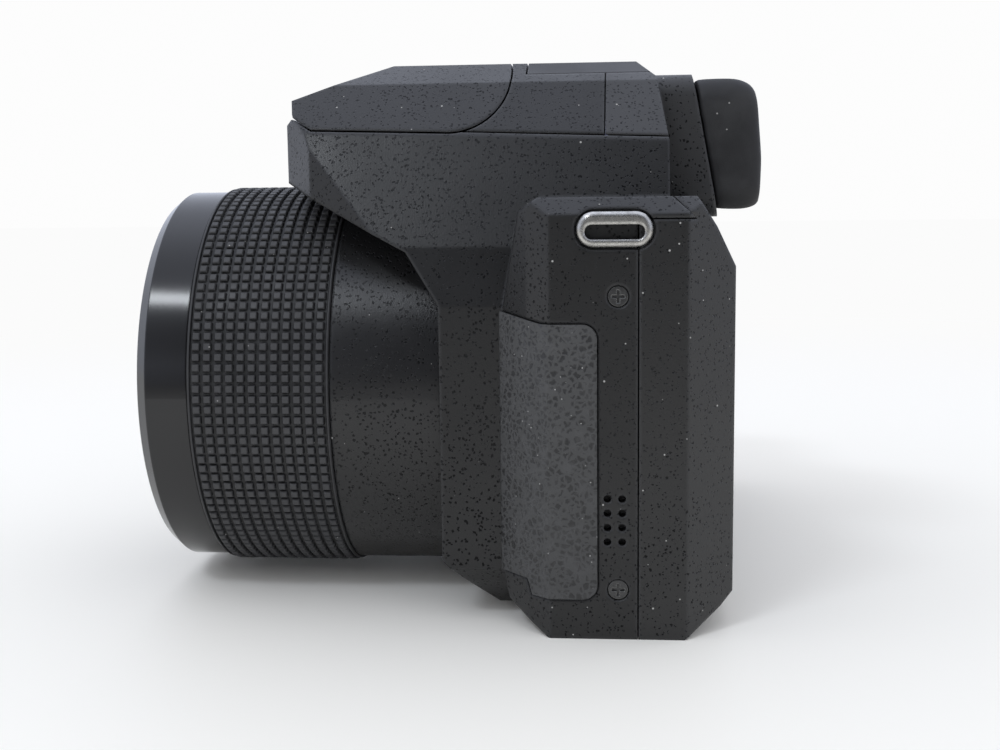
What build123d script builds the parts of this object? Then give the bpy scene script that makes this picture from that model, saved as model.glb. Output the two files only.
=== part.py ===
from build123d import *
import math
import os

os.makedirs("parts", exist_ok=True)

# Bridge camera with a long fixed zoom lens, at rest with the lens drawn in. Millimetres.
# +X is the side of the photographer's left hand, -Y points at the subject, +Z is up,
# and the mouth of the tripod socket is at the origin.

# Driving sizes of the whole camera
left_reach = 44.0
right_reach = 75.0
back_reach = 17.6
front_reach = 18.0
box_reach = 27.7
nose_reach = 55.3
hump_height = 88.9
pod_height = 66.5
shoulder_height = 64.0
lens_axis = 35.0
lens_reach = 77.7
wall = 2.0

# Clearances
seam = 0.2
run_gap = 0.3
pin_gap = 0.05
overrun = 5.0

# Lens box and hump: one faceted form that carries the lens and the flash
core_half = 36.0
core_bottom = 1.2
core_bottom_half = 29.0
bilge_height = 6.0
bilge_half = 34.0
side_low = 8.5
side_top = 50.0
flare_half = 33.8
flare_height = 59.0
crease_front_half = 25.2
crease_front_height = hump_height - 11.5
crease_back_half = 27.0
crease_back_height = hump_height - 13.8
strip_half = 17.0
strip_height = hump_height - 3.6
roof_half = 10.0
core_back = 8.0
roof_front = 38.0
roof_back = 3.0
slope_back = 6.2
slope_back_height = hump_height - 2.9
brow_reach = 53.6
brow_height = hump_height - 6.2
lip_reach = 52.9
lip_height = hump_height - 9.1
face_low = 69.8
underside_mid = 33.0
underside_mid_height = 58.3
nose_half = 20.5
nose_shoulder_half = 26.6
nose_shoulder_reach = 49.4

# Main body beside the lens box
block_right = 50.0
pod_chamfer_drop = 2.5
pod_chamfer_width = 3.2
pod_front_flat = 10.3
pod_front_mid = 13.7
pod_inset = left_reach - core_half
pod_front_mid_inset = pod_inset * 0.375
pod_back_flat = 10.3
pod_back_inset = pod_inset * 0.8125
pod_slant_height = 48.0
pod_slant = 3.0
back_slope_height = 56.0
back_slope = 3.0
toe_height = 8.5
toe_flat = 10.6
heel_height = 6.0
heel_flat = 10.0
corner_radius = 2.5

# Hand grip
grip_left = 38.0
grip_reach = 37.5
grip_corner = 9.0
grip_inner = 47.0
grip_root = 20.0
grip_brow_height = 57.0
grip_brow_drop = 8.0
grip_brow_start = 5.0
grip_toe = 4.0


def side_plane(x):
    # Faces +X, with its own x along +Y and its own y up.
    return Plane(origin=(x, 0, 0), x_dir=(0, 1, 0), z_dir=(1, 0, 0))


def front_plane(y):
    # Faces -Y, with its own x along +X and its own y up.
    return Plane(origin=(0, y, 0), x_dir=(1, 0, 0), z_dir=(0, -1, 0))


def lens_plane(y):
    # Faces -Y, centred on the lens axis.
    return Plane(origin=(0, y, lens_axis), x_dir=(1, 0, 0), z_dir=(0, -1, 0))


def core_section(crease_half, crease_height):
    # Right half from the roof down, then mirrored.
    half = [
        (roof_half, hump_height),
        (strip_half, strip_height),
        (crease_half, crease_height),
        (flare_half, flare_height),
        (core_half, side_top),
        (core_half, side_low),
        (bilge_half, bilge_height),
        (core_bottom_half, core_bottom),
    ]
    return half + [(-x, z) for x, z in reversed(half)]


def core_profile():
    # Side outline of the lens box and hump, from the front's foot round the roof.
    return [
        (-box_reach, core_bottom + toe_height),
        (-box_reach, side_top),
        (-underside_mid, underside_mid_height),
        (-nose_reach, face_low),
        (-nose_reach, lip_height - wall),
        (-lip_reach, lip_height),
        (-brow_reach, brow_height),
        (-roof_front, hump_height),
        (roof_back, hump_height),
        (slope_back, slope_back_height),
        (core_back, crease_back_height),
        (core_back, core_bottom),
        (-box_reach + toe_height, core_bottom),
    ]


def core_plan():
    # Plan outline of the hump's nose.
    half = [
        (nose_half, -nose_reach + wall / 2),
        (nose_shoulder_half, -nose_shoulder_reach),
        (core_half, -box_reach - overrun),
        (core_half, core_back),
    ]
    return half + [(-x, y) for x, y in reversed(half)]


def outline(points, inset):
    # Closed outline inside the open sketch, drawn in by the inset.
    Polygon(*points, align=None)
    if inset:
        offset(amount=-inset, kind=Kind.INTERSECTION)


def core_form(inset):
    with BuildPart() as core:
        with BuildSketch(front_plane(-nose_reach - overrun)):
            outline(core_section(crease_front_half, crease_front_height), inset)
        with BuildSketch(front_plane(core_back + overrun)):
            outline(core_section(crease_back_half, crease_back_height), inset)
        loft(ruled=True)
        with BuildSketch(side_plane(0)):
            outline(core_profile(), inset)
        extrude(amount=core_half + overrun, both=True, mode=Mode.INTERSECT)
        with BuildSketch(Plane.XY):
            outline(core_plan(), inset)
        extrude(amount=hump_height + overrun, mode=Mode.INTERSECT)
    return core.part


def block_plan():
    return [
        (-block_right, back_reach),
        (left_reach - pod_back_inset, back_reach),
        (left_reach, pod_back_flat),
        (left_reach, -pod_front_flat),
        (left_reach - pod_front_mid_inset, -pod_front_mid),
        (left_reach - pod_inset, -front_reach),
        (-block_right, -front_reach),
    ]


def block_front():
    return [
        (left_reach, 0),
        (left_reach, pod_height - pod_chamfer_drop),
        (left_reach - pod_chamfer_width, pod_height),
        (0, pod_height),
        (0, shoulder_height),
        (-block_right, shoulder_height),
        (-block_right, 0),
    ]


def block_profile():
    return [
        (-toe_flat, 0),
        (-front_reach + toe_height / 8, toe_height / 2),
        (-front_reach, toe_height),
        (-front_reach, pod_slant_height),
        (-front_reach + pod_slant, pod_height - wall),
        (-front_reach + 2 * pod_slant, pod_height),
        (back_reach - 2 * back_slope, pod_height),
        (back_reach - back_slope, shoulder_height - wall),
        (back_reach, back_slope_height),
        (back_reach, heel_height),
        (back_reach - wall, heel_height - wall),
        (heel_flat, 0),
    ]


def block_form(inset):
    with BuildPart() as block:
        with BuildSketch(Plane.XY):
            outline(block_plan(), inset)
        extrude(amount=pod_height + overrun)
        with BuildSketch(front_plane(0)):
            outline(block_front(), inset)
        extrude(amount=back_reach + nose_reach, both=True, mode=Mode.INTERSECT)
        with BuildSketch(side_plane(0)):
            outline(block_profile(), inset)
        extrude(amount=right_reach + left_reach, both=True, mode=Mode.INTERSECT)
    return block.part


def grip_plan(inset):
    Polygon(
        (-grip_left, back_reach),
        (-right_reach, back_reach),
        (-right_reach, -grip_reach),
        (-grip_inner, -grip_reach),
        (-grip_left, -grip_root),
        align=None,
    )
    fillet(vertices().group_by(Axis.Y)[0], grip_corner)
    fillet(vertices().group_by(Axis.X)[0].sort_by(Axis.Y)[-1:], corner_radius * 2)
    if inset:
        offset(amount=-inset, kind=Kind.INTERSECTION)


def grip_profile():
    return [
        (-grip_reach + grip_toe, 0),
        (-grip_reach, grip_toe),
        (-grip_reach, grip_brow_height - grip_brow_drop),
        (-grip_reach + grip_brow_drop / 2, grip_brow_height),
        (-front_reach + grip_brow_start, shoulder_height),
        (back_reach - 2 * back_slope, shoulder_height),
        (back_reach - back_slope, shoulder_height - wall),
        (back_reach, back_slope_height),
        (back_reach, heel_height),
        (back_reach - wall, heel_height - wall),
        (heel_flat, 0),
    ]


def grip_form(inset):
    with BuildPart() as grip:
        with BuildSketch(Plane.XY):
            grip_plan(inset)
        extrude(amount=shoulder_height + overrun)
        with BuildSketch(side_plane(0)):
            outline(grip_profile(), inset)
        extrude(amount=-right_reach - overrun, mode=Mode.INTERSECT)
    return grip.part


def grown_box(x, y, z, gap):
    # Block between the given pairs of coordinates, larger by the gap on every side.
    with BuildPart() as block:
        with BuildSketch(Plane.XY.offset(z[0] - gap)):
            with Locations(((x[0] + x[1]) / 2, (y[0] + y[1]) / 2)):
                Rectangle(x[1] - x[0] + 2 * gap, y[1] - y[0] + 2 * gap)
        extrude(amount=z[1] - z[0] + 2 * gap)
    return block.part


def prism(plane, points, amount, both=False):
    with BuildPart() as block:
        with BuildSketch(plane):
            Polygon(*points, align=None)
        extrude(amount=amount, both=both)
    return block.part


def round_bar(plane, radius, amount, inner=0):
    with BuildPart() as bar:
        with BuildSketch(plane):
            Circle(radius)
            if inner:
                Circle(inner, mode=Mode.SUBTRACT)
        extrude(amount=amount)
    return bar.part


def keep(piece, label):
    piece.part.label = label
    export_step(piece.part, f"parts/{label}.step")


def slot_plane(x, y, z, normal):
    # A plane at a point, facing along the normal, with its own x level.
    level = (-normal[1], normal[0], 0) if normal[0] or normal[1] else (1, 0, 0)
    return Plane(origin=(x, y, z), x_dir=level, z_dir=normal)


# Lens radii, from the sleeve in to the front barrel
sleeve_radius = 33.3
stud_height = 0.5
ring_radius = 33.2
housing_radius = 32.2
housing_wall = 0.8
cam_wall = 1.0
mid_wall = 1.5
front_wall = 2.2
cam_radius = housing_radius - housing_wall - run_gap
mid_radius = cam_radius - cam_wall - run_gap
front_radius = mid_radius - mid_wall - run_gap
nose_clearance = 1.0

# Flash: it swings up about a pin under the roof
flash_pin_reach = 27.0
flash_pin_height = hump_height - 2.6
flash_pin_radius = 0.7
flash_tail_radius = 9.3
flash_gap = 0.3
flash_wall = 1.6

# Seams between the covers
cover_split = 3.1
pod_split_height = 63.4
pod_split_reach = 11.5
shoulder_split = 58.0
roof_split = 2.0
roof_seam_back_height = hump_height - 13.2

# Eyepiece block behind the hump
eye_half = 17.0
eye_low = hump_height - 25.9
eye_high = hump_height - 2.6
eye_corner = 4.0
eye_top_back = 12.0
eye_low_back = 16.4
eye_bore_width = 22.0
eye_bore_height = 12.0
eye_height = hump_height - 14.4

# Screen in the back
screen_centre = 1.5
screen_low = 6.5
screen_width = 65.0
screen_height = 48.0
screen_corner = 2.0
screen_glass = 1.4
screen_proud = 0.3
screen_border = 2.0
screen_depth = 3.4

# Buttons
small_button = 2.6
power_radius = 2.9
movie_radius = 3.0
pad_radius = 9.5
ok_radius = 4.0
pad_gap = 0.5
button_proud = 1.0
button_flange = 0.8
button_flange_thick = 0.8
button_gap = 0.15

# Hand grip's shutter button and zoom lever, on the slope
brow_slope = math.atan2(
    shoulder_height - grip_brow_height,
    grip_reach - grip_brow_drop / 2 - front_reach + grip_brow_start,
)
lever_radius = 8.0
lever_hub = 6.6
lever_thick = 2.6
shutter_radius = 5.4
shutter_proud = 4.0
shutter_rounding = 1.0

# Dials on the shoulder
mode_radius = 8.5
mode_height = 6.0
mode_grooves = 36
jog_radius = 5.0
jog_height = 3.6
jog_grooves = 24
dial_shaft = 2.0
dial_foot = 3.6
dial_foot_thick = 1.0

# Base plate and battery door, in the underside
base_half = 34.0
base_front = 8.0
base_back = 9.5
base_thick = 1.6
base_flange = 1.8
socket_radius = 5.0
socket_bore = 3.175
socket_depth = 6.5
door_left = 46.0
door_right = 71.0
door_front = 30.0
door_back = 8.0
door_pin = 0.6
door_swing = wall / 2

# Rubber skins
rubber_proud = 0.35
rubber_inset = 0.8

# Screws, lugs and sockets
screw_head = 1.5
screw_shank = 0.9
screw_length = 1.6
screw_sink = 1.3
lug_width = 11.2
lug_height = 5.2
lug_hole_width = 8.8
lug_hole_height = 2.2
lug_hole_drop = 0.35
lug_thickness = 1.1
lug_proud = 0.5
lug_seat_depth = 1.5
lug_margin = 0.35
lug_bevel = 0.45
lug_foot_width = 7.0
lug_foot_height = 1.1
lug_place = 0.5
lug_left_height = 61.8
lug_right_height = 54.0
terminal_front = 4.6
terminal_back = 12.6
terminal_low = 22.0
terminal_high = 50.0
terminal_thick = 1.4
terminal_pin = 0.6
speaker_radius = 5.0
speaker_thick = 3.0
speaker_height = 18.4
speaker_hole = 0.58
speaker_pitch = 2.2
speaker_grid = (2, 4)


core_outer = core_form(0)
block_outer = block_form(0)
hand_outer = grip_form(0)

with BuildPart() as lens_room:
    # Room for the lens under the hump's nose.
    add(round_bar(lens_plane(-box_reach), ring_radius + nose_clearance, nose_reach))

with BuildPart() as shell_solid:
    add(core_outer)
    add(block_outer)
    add(hand_outer)
    add(lens_room.part, mode=Mode.SUBTRACT)

with BuildPart() as nose_wall:
    # What stays solid round the lens under the nose.
    add(round_bar(lens_plane(-box_reach + wall), ring_radius + nose_clearance + wall, nose_reach))

with BuildPart() as cavity:
    add(core_form(wall))
    add(nose_wall.part, mode=Mode.SUBTRACT)
    add(block_form(wall))
    add(grip_form(wall))

with BuildPart() as shoulder_block:
    # Top of the hand grip side, outside the hump.
    add(block_outer)
    add(hand_outer)
    add(
        grown_box(
            (-right_reach - overrun, 0),
            (-grip_reach - overrun, back_reach + overrun),
            (shoulder_split, hump_height),
            0,
        ),
        mode=Mode.INTERSECT,
    )
    add(core_outer, mode=Mode.SUBTRACT)


def flash_region(gap):
    # Side outline of the flash head: above the seam along the crease, round the pin's tail.
    tail = flash_tail_radius + gap
    pin = (-flash_pin_reach, flash_pin_height)
    high = hump_height + overrun
    reach = math.sqrt(tail**2 - (hump_height - flash_pin_height) ** 2)
    with BuildPart() as region:
        with BuildSketch(side_plane(0)):
            with BuildLine():
                Polyline(
                    (pin[0] + reach, hump_height),
                    (pin[0] + reach, high),
                    (-nose_reach - overrun, high),
                    (-nose_reach - overrun, lip_height - gap),
                    (-lip_reach, lip_height - gap),
                    (-nose_shoulder_reach, crease_front_height + flash_gap - gap),
                    (pin[0], pin[1] - tail),
                )
                CenterArc(pin, tail, -90, 90 + math.degrees(math.acos(reach / tail)))
            make_face()
        extrude(amount=core_half + overrun, both=True)
    return region.part


# Underside of the flash head over the pin, where the front and rear covers' top seam starts
flash_low = flash_pin_height - flash_tail_radius

with BuildPart() as front_region:
    with BuildSketch(side_plane(0)):
        Polygon(
            (-nose_reach - overrun, -overrun),
            (cover_split - seam, -overrun),
            (cover_split - seam, pod_split_height),
            (pod_split_reach - seam, pod_split_height),
            (core_back, pod_height),
            (core_back, roof_seam_back_height),
            (-flash_pin_reach, flash_low),
            (-nose_shoulder_reach, crease_front_height + flash_gap),
            (-lip_reach, lip_height),
            (-nose_reach - overrun, lip_height),
            align=None,
        )
    extrude(amount=right_reach + overrun, both=True)

with BuildPart() as rear_region:
    with BuildSketch(side_plane(0)):
        Polygon(
            (cover_split, -overrun),
            (back_reach + overrun, -overrun),
            (back_reach + overrun, pod_height + overrun),
            (core_back + seam, pod_height + overrun),
            (core_back + seam, pod_height),
            (pod_split_reach, pod_split_height - seam),
            (cover_split, pod_split_height - seam),
            align=None,
        )
    extrude(amount=right_reach + overrun, both=True)


def roof_region(front, back):
    # Above the top seam, between two places along the camera.
    run = core_back + flash_pin_reach
    fall = flash_low - roof_seam_back_height
    heights = [flash_low - fall * (y + flash_pin_reach) / run + seam for y in (front, back)]
    high = hump_height + overrun
    points = [(front, heights[0]), (back, heights[1]), (back, high), (front, high)]
    return prism(side_plane(0), points, core_half + overrun, both=True)


# Eyepiece block: rounded in front view, cut to a slant behind
with BuildPart() as eye_block:
    with BuildSketch(front_plane(back_reach + overrun)):
        with Locations((0, (eye_low + eye_high) / 2)):
            RectangleRounded(2 * eye_half, eye_high - eye_low, eye_corner)
    extrude(amount=back_reach + overrun - roof_back)
    with BuildSketch(side_plane(0)):
        Polygon(
            (0, eye_low - overrun),
            (0, eye_high + overrun),
            (eye_top_back, eye_high),
            (eye_low_back, eye_low),
            (eye_low_back, eye_low - overrun),
            align=None,
        )
    extrude(amount=eye_half + overrun, both=True, mode=Mode.INTERSECT)


def eye_bore(gap, front, back):
    with BuildPart() as bore:
        with BuildSketch(front_plane(back)):
            with Locations((0, eye_height)):
                RectangleRounded(
                    eye_bore_width - 2 * gap, eye_bore_height - 2 * gap, eye_corner / 2
                )
        extrude(amount=back - front)
    return bore.part


# Controls on the back: share of the way from the screen to the right side, and of the height
screen_left = screen_centre - screen_width / 2
panel_width = right_reach + screen_left
rear_buttons_share = {
    "playback_button": (0.24, 0.65),
    "delete_button": (0.80, 0.60),
    "menu_button": (0.24, 0.19),
    "info_button": (0.80, 0.19),
}
movie_share = (0.40, 0.79)
pad_share = (0.51, 0.40)

# Controls on the shoulder: share of the way out from the lens box, and of the body's depth
shoulder_width = right_reach - core_half
shoulder_depth = back_reach + front_reach
mode_share = (0.21, 0.50)
power_share = (0.55, 0.64)
jog_share = (0.80, 0.64)
drive_share = (0.52, 0.33)
exposure_share = (0.78, 0.33)
shutter_share = 0.62


def back_place(share, lift=0):
    x = screen_left - share[0] * panel_width
    return Plane(
        origin=(x, back_reach + lift, share[1] * shoulder_height),
        x_dir=(-1, 0, 0),
        z_dir=(0, 1, 0),
    )


def top_place(share, lift=0):
    x = -core_half - share[0] * shoulder_width
    y = -front_reach + share[1] * shoulder_depth
    return Plane(origin=(x, y, shoulder_height + lift), x_dir=(1, 0, 0), z_dir=(0, 0, 1))


def shutter_place(lift=0):
    # Middle of the slope that falls to the front of the grip.
    x = -core_half - shutter_share * shoulder_width
    y = (-grip_reach + grip_brow_drop / 2 - front_reach + grip_brow_start) / 2
    z = (grip_brow_height + shoulder_height) / 2
    tilt = (0, -math.sin(brow_slope), math.cos(brow_slope))
    level = Plane(origin=(x, y, z), x_dir=(1, 0, 0), z_dir=tilt)
    return level.offset(lift)


def well(plane, radius, depth=2 * wall):
    # Hole through a cover for a control at a plane on its face.
    return round_bar(plane.offset(-depth), radius, depth + overrun)


def push_button(plane, radius, proud, label):
    # Cap with a flange under the cover that keeps it from falling out.
    flange_top = -wall - button_gap
    with BuildPart() as button:
        with BuildSketch(plane.offset(flange_top - button_flange_thick)):
            Circle(radius + button_flange)
        extrude(amount=button_flange_thick)
        with BuildSketch(plane.offset(flange_top)):
            Circle(radius)
        extrude(amount=proud - flange_top)
        rim = button.faces().sort_by(lambda face: face.center().dot(plane.z_dir))[-1]
        fillet(rim.edges(), button_gap * 2)
    keep(button, label)


# Buttons on the back
for name, share in rear_buttons_share.items():
    push_button(back_place(share), small_button, button_proud, name)
push_button(back_place(movie_share), movie_radius, button_proud, "movie_button")

# Four-way pad: a ring round the confirming button
with BuildPart() as four_way_pad:
    with BuildSketch(back_place(pad_share, -wall - pad_gap - button_flange_thick)):
        Circle(pad_radius + button_flange)
        Circle(ok_radius + button_flange + button_gap, mode=Mode.SUBTRACT)
    extrude(amount=button_flange_thick)
    with BuildSketch(back_place(pad_share, -wall - pad_gap)):
        Circle(pad_radius)
        Circle(ok_radius + button_gap, mode=Mode.SUBTRACT)
    extrude(amount=wall + pad_gap + button_proud)
keep(four_way_pad, "four_way_pad")

with BuildPart() as ok_button:
    with BuildSketch(back_place(pad_share, -wall - button_gap - button_flange_thick)):
        Circle(ok_radius)
    extrude(amount=wall + button_gap + button_flange_thick + button_proud)
    rim = ok_button.faces().sort_by(Axis.Y)[-1]
    fillet(rim.edges(), button_gap * 2)
keep(ok_button, "ok_button")

# Buttons on the shoulder
push_button(top_place(power_share), power_radius, button_proud, "power_button")
push_button(top_place(drive_share), small_button, button_proud, "drive_button")
push_button(top_place(exposure_share), small_button, button_proud, "exposure_button")


def dial(share, radius, height, teeth, label):
    # Notched dial on a shaft, with a foot inside the cover.
    notch = math.pi * radius / teeth / 2
    with BuildPart() as wheel:
        with BuildSketch(top_place(share, run_gap)):
            Circle(radius)
            with PolarLocations(radius, teeth):
                Circle(notch / 2, mode=Mode.SUBTRACT)
        extrude(amount=height)
        with BuildSketch(top_place(share, -wall - run_gap)):
            Circle(dial_shaft)
        extrude(amount=wall + 2 * run_gap)
        with BuildSketch(top_place(share, -wall - run_gap - dial_foot_thick)):
            Circle(dial_foot)
        extrude(amount=dial_foot_thick)
    keep(wheel, label)


dial(mode_share, mode_radius, mode_height, mode_grooves, "mode_dial")
dial(jog_share, jog_radius, jog_height, jog_grooves, "control_dial")

# Zoom lever: a ring round the shutter button, with a finger tab at the front
tab_width = 4.8
tab_corner = 1.2
with BuildPart() as zoom_lever:
    with BuildSketch(shutter_place(run_gap)):
        Circle(lever_radius)
        with Locations((0, -lever_radius)):
            RectangleRounded(tab_width, tab_width, tab_corner)
        Circle(shutter_radius + button_gap, mode=Mode.SUBTRACT)
    extrude(amount=lever_thick)
    with BuildSketch(shutter_place(-wall - button_gap)):
        Circle(lever_hub)
        Circle(shutter_radius + button_gap, mode=Mode.SUBTRACT)
    extrude(amount=wall + button_gap + run_gap)
    with BuildSketch(shutter_place(-wall - button_gap - button_flange_thick)):
        Circle(lever_hub + button_flange)
        Circle(shutter_radius + button_gap, mode=Mode.SUBTRACT)
    extrude(amount=button_flange_thick)
keep(zoom_lever, "zoom_lever")

with BuildPart() as shutter_button:
    with BuildSketch(shutter_place(-wall - button_gap - button_flange_thick)):
        Circle(shutter_radius)
    extrude(amount=wall + button_gap + button_flange_thick + shutter_proud)
    crown = shutter_button.faces().sort_by(lambda face: face.center().Z)[-1]
    fillet(crown.edges(), shutter_rounding)
keep(shutter_button, "shutter_button")

# Holes that the controls need in the covers
rear_wells = [
    well(back_place(share), small_button + button_gap) for share in rear_buttons_share.values()
]
rear_wells.append(well(back_place(movie_share), movie_radius + button_gap))
rear_wells.append(well(back_place(pad_share), pad_radius + button_gap))
top_wells = [
    well(top_place(power_share), power_radius + button_gap),
    well(top_place(drive_share), small_button + button_gap),
    well(top_place(exposure_share), small_button + button_gap),
    well(top_place(mode_share), dial_shaft + pin_gap),
    well(top_place(jog_share), dial_shaft + pin_gap),
    well(shutter_place(), lever_hub + pin_gap),
]


# Screws that hold the covers, with a cross recess in each head
screw_side_low = 7.7
screw_left_high = 52.0
screw_right_high = 45.0
screw_under_inset = 5.0
screw_under_front = 4.0
screw_under_back = 7.0
screw_cross = 0.45
screw_cross_reach = 1.95


def screw_planes():
    # Outer face of each screw's seat, facing outwards.
    left_low = slot_plane(left_reach, 0, screw_side_low, (1, 0, 0))
    left_high = slot_plane(left_reach, 0, screw_left_high, (1, 0, 0))
    right_low = slot_plane(-right_reach, 0, screw_side_low, (-1, 0, 0))
    right_high = slot_plane(-right_reach, 0, screw_right_high, (-1, 0, 0))
    under = [
        slot_plane(x, y, 0, (0, 0, -1))
        for x in (base_half + screw_under_inset, -base_half - screw_under_inset)
        for y in (-screw_under_front, screw_under_back)
    ]
    return [left_low, left_high, right_low, right_high] + under


with BuildPart() as case_screws:
    for seat in screw_planes():
        with BuildSketch(seat.offset(-screw_sink)):
            Circle(screw_head)
        extrude(amount=screw_sink - button_gap)
        with BuildSketch(seat.offset(-screw_sink - screw_length)):
            Circle(screw_shank)
        extrude(amount=screw_length)
        with BuildSketch(seat.offset(-screw_sink / 2)):
            Rectangle(screw_cross_reach, screw_cross)
            Rectangle(screw_cross, screw_cross_reach)
        extrude(amount=screw_sink, mode=Mode.SUBTRACT)
keep(case_screws, "case_screws")

with BuildPart() as screw_seats:
    for seat in screw_planes():
        with BuildSketch(seat.offset(-screw_sink)):
            Circle(screw_head + button_gap)
        extrude(amount=screw_sink + overrun)
        with BuildSketch(seat.offset(-screw_sink - screw_length)):
            Circle(screw_shank + pin_gap)
        extrude(amount=screw_length)


# Strap lugs: a stamped loop in a shallow seat on each side, held by a foot behind its top bar
def lug_plane(side, depth):
    x = left_reach if side > 0 else -right_reach
    z = lug_left_height if side > 0 else lug_right_height
    return slot_plane(x, -lug_place, z, (side, 0, 0)).offset(-depth)


with BuildPart() as strap_lugs:
    for side in (1, -1):
        with BuildSketch(lug_plane(side, lug_thickness - lug_proud)):
            RectangleRounded(lug_width, lug_height, lug_height / 2 - pin_gap)
            with Locations((0, -lug_hole_drop)):
                RectangleRounded(
                    lug_hole_width,
                    lug_hole_height,
                    lug_hole_height / 2 - pin_gap,
                    mode=Mode.SUBTRACT,
                )
        extrude(amount=lug_thickness)
    for face in (strap_lugs.faces().sort_by(Axis.X)[0], strap_lugs.faces().sort_by(Axis.X)[-1]):
        chamfer(face.outer_wire().edges(), lug_bevel)
    for side in (1, -1):
        with BuildSketch(lug_plane(side, lug_seat_depth)):
            with Locations((0, (lug_height - lug_foot_height) / 2 - lug_margin / 2)):
                Rectangle(lug_foot_width, lug_foot_height)
        extrude(amount=lug_seat_depth - lug_thickness + lug_proud)
keep(strap_lugs, "strap_lugs")

with BuildPart() as lug_slots:
    for side in (1, -1):
        with BuildSketch(lug_plane(side, lug_seat_depth)):
            RectangleRounded(
                lug_width + 2 * lug_margin,
                lug_height + 2 * lug_margin,
                lug_height / 2 + lug_margin - pin_gap,
            )
        extrude(amount=lug_seat_depth + overrun)

# Speaker under its holes in the left side
with BuildPart() as speaker:
    with BuildSketch(side_plane(left_reach - wall)):
        with Locations((-lug_place, speaker_height)):
            Circle(speaker_radius)
    extrude(amount=-speaker_thick)

with BuildPart() as speaker_holes:
    with BuildSketch(side_plane(left_reach - wall - overrun / 2)):
        with Locations((-lug_place, speaker_height)):
            with GridLocations(speaker_pitch, speaker_pitch, *speaker_grid):
                Circle(speaker_hole)
    extrude(amount=wall + overrun)


# Battery door: swings down about a pin along its inner edge
def door_form(gap):
    with BuildPart() as door:
        with BuildSketch(front_plane(door_back + gap)):
            with BuildLine():
                Polyline(
                    (-door_left, 2 * door_swing + gap),
                    (-door_right - gap, 2 * door_swing + gap),
                    (-door_right - gap, -gap),
                    (-door_left, -gap),
                )
                CenterArc((-door_left, door_swing), door_swing + gap, -90, 180)
            make_face()
        extrude(amount=door_back + door_front + 2 * gap)
    return door.part


def door_recess():
    # Square below the pin, so that the door can hang straight down.
    with BuildPart() as recess:
        add(door_form(button_gap))
        add(
            grown_box(
                (-door_left, -door_left + door_swing + button_gap),
                (-door_front - button_gap, door_back + button_gap),
                (-overrun, door_swing),
                0,
            )
        )
    return recess.part


latch_width = 5.0
latch_grooves = 3
latch_groove = 0.3
latch_length = 10.0
latch_travel = 2.5
latch_inset = 3.0
latch_place = (door_back - door_front) / 2
latch_depth = door_swing
latch_x = (-door_right + latch_inset, -door_right + latch_inset + latch_width)
latch_y = (latch_place - latch_length / 2, latch_place + latch_length / 2)

with BuildPart() as battery_door:
    add(door_form(0))
    add(
        grown_box(
            (latch_x[0], latch_x[1] + latch_travel),
            latch_y,
            (-overrun, latch_depth),
            button_gap,
        ),
        mode=Mode.SUBTRACT,
    )
    with BuildSketch(front_plane(door_back + overrun)):
        with Locations((-door_left, door_swing)):
            Circle(door_pin + pin_gap)
    extrude(amount=door_back + door_front + 2 * overrun, mode=Mode.SUBTRACT)
keep(battery_door, "battery_door")

with BuildPart() as door_latch:
    add(grown_box(latch_x, latch_y, (0, latch_depth), 0))
    for n in range(latch_grooves):
        x = latch_x[0] + latch_width * (n + 1) / (latch_grooves + 1)
        add(grown_box((x, x), latch_y, (0, 0), latch_groove), mode=Mode.SUBTRACT)
keep(door_latch, "door_latch")

door_pin_end = 1.6
with BuildPart() as door_hinge_pin:
    with BuildSketch(front_plane(door_back + door_pin_end)):
        with Locations((-door_left, door_swing)):
            Circle(door_pin)
    extrude(amount=door_back + door_front + 2 * door_pin_end)

# Base plate with the tripod socket: its flange lies on the floor of the covers
with BuildPart() as base_flange_block:
    add(
        grown_box(
            (-base_half - base_flange, base_half + base_flange),
            (-base_front - base_flange, base_back + base_flange),
            (wall, wall + base_thick),
            0,
        )
    )
    add(cavity.part, mode=Mode.INTERSECT)

with BuildPart() as base_plate:
    add(grown_box((-base_half, base_half), (-base_front, base_back), (0, wall), 0))
    add(base_flange_block.part)
    add(round_bar(Plane.XY, socket_radius, wall + base_thick), mode=Mode.SUBTRACT)
keep(base_plate, "base_plate")

with BuildPart() as base_pocket:
    add(grown_box((-base_half, base_half), (-base_front, base_back), (-overrun, wall), seam))

socket_wall = wall
with BuildPart() as tripod_socket:
    with BuildSketch(Plane.XY):
        Circle(socket_radius)
    extrude(amount=socket_depth + socket_wall)
    with BuildSketch(Plane.XY.offset(wall + base_thick)):
        Circle(socket_radius + socket_wall)
    extrude(amount=socket_wall)
    with BuildSketch(Plane.XY):
        Circle(socket_bore)
    extrude(amount=socket_depth, mode=Mode.SUBTRACT)
keep(tripod_socket, "tripod_socket")

# Flap over the terminals, hinged on a pin along its back edge
terminal_swing = terminal_thick / 2
terminal_x = -right_reach + terminal_swing


def terminal_form(gap):
    # Drawn in plan: the flap with its round edge about the pin.
    back = terminal_back
    with BuildPart() as flap:
        with BuildSketch(Plane.XY.offset(terminal_low - gap)):
            with BuildLine():
                Polyline(
                    (terminal_x + terminal_swing + gap, back),
                    (terminal_x + terminal_swing + gap, terminal_front - gap),
                    (terminal_x - terminal_swing - gap, terminal_front - gap),
                    (terminal_x - terminal_swing - gap, back),
                )
                CenterArc((terminal_x, back), terminal_swing + gap, 0, 180)
            make_face()
        extrude(amount=terminal_high - terminal_low + 2 * gap)
    return flap.part


def terminal_recess():
    # Square outside the pin, so that the flap can stand straight out.
    with BuildPart() as recess:
        add(terminal_form(button_gap))
        add(
            grown_box(
                (-right_reach - overrun, terminal_x),
                (terminal_back, terminal_back + terminal_swing + button_gap),
                (terminal_low - button_gap, terminal_high + button_gap),
                0,
            )
        )
    return recess.part


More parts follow.
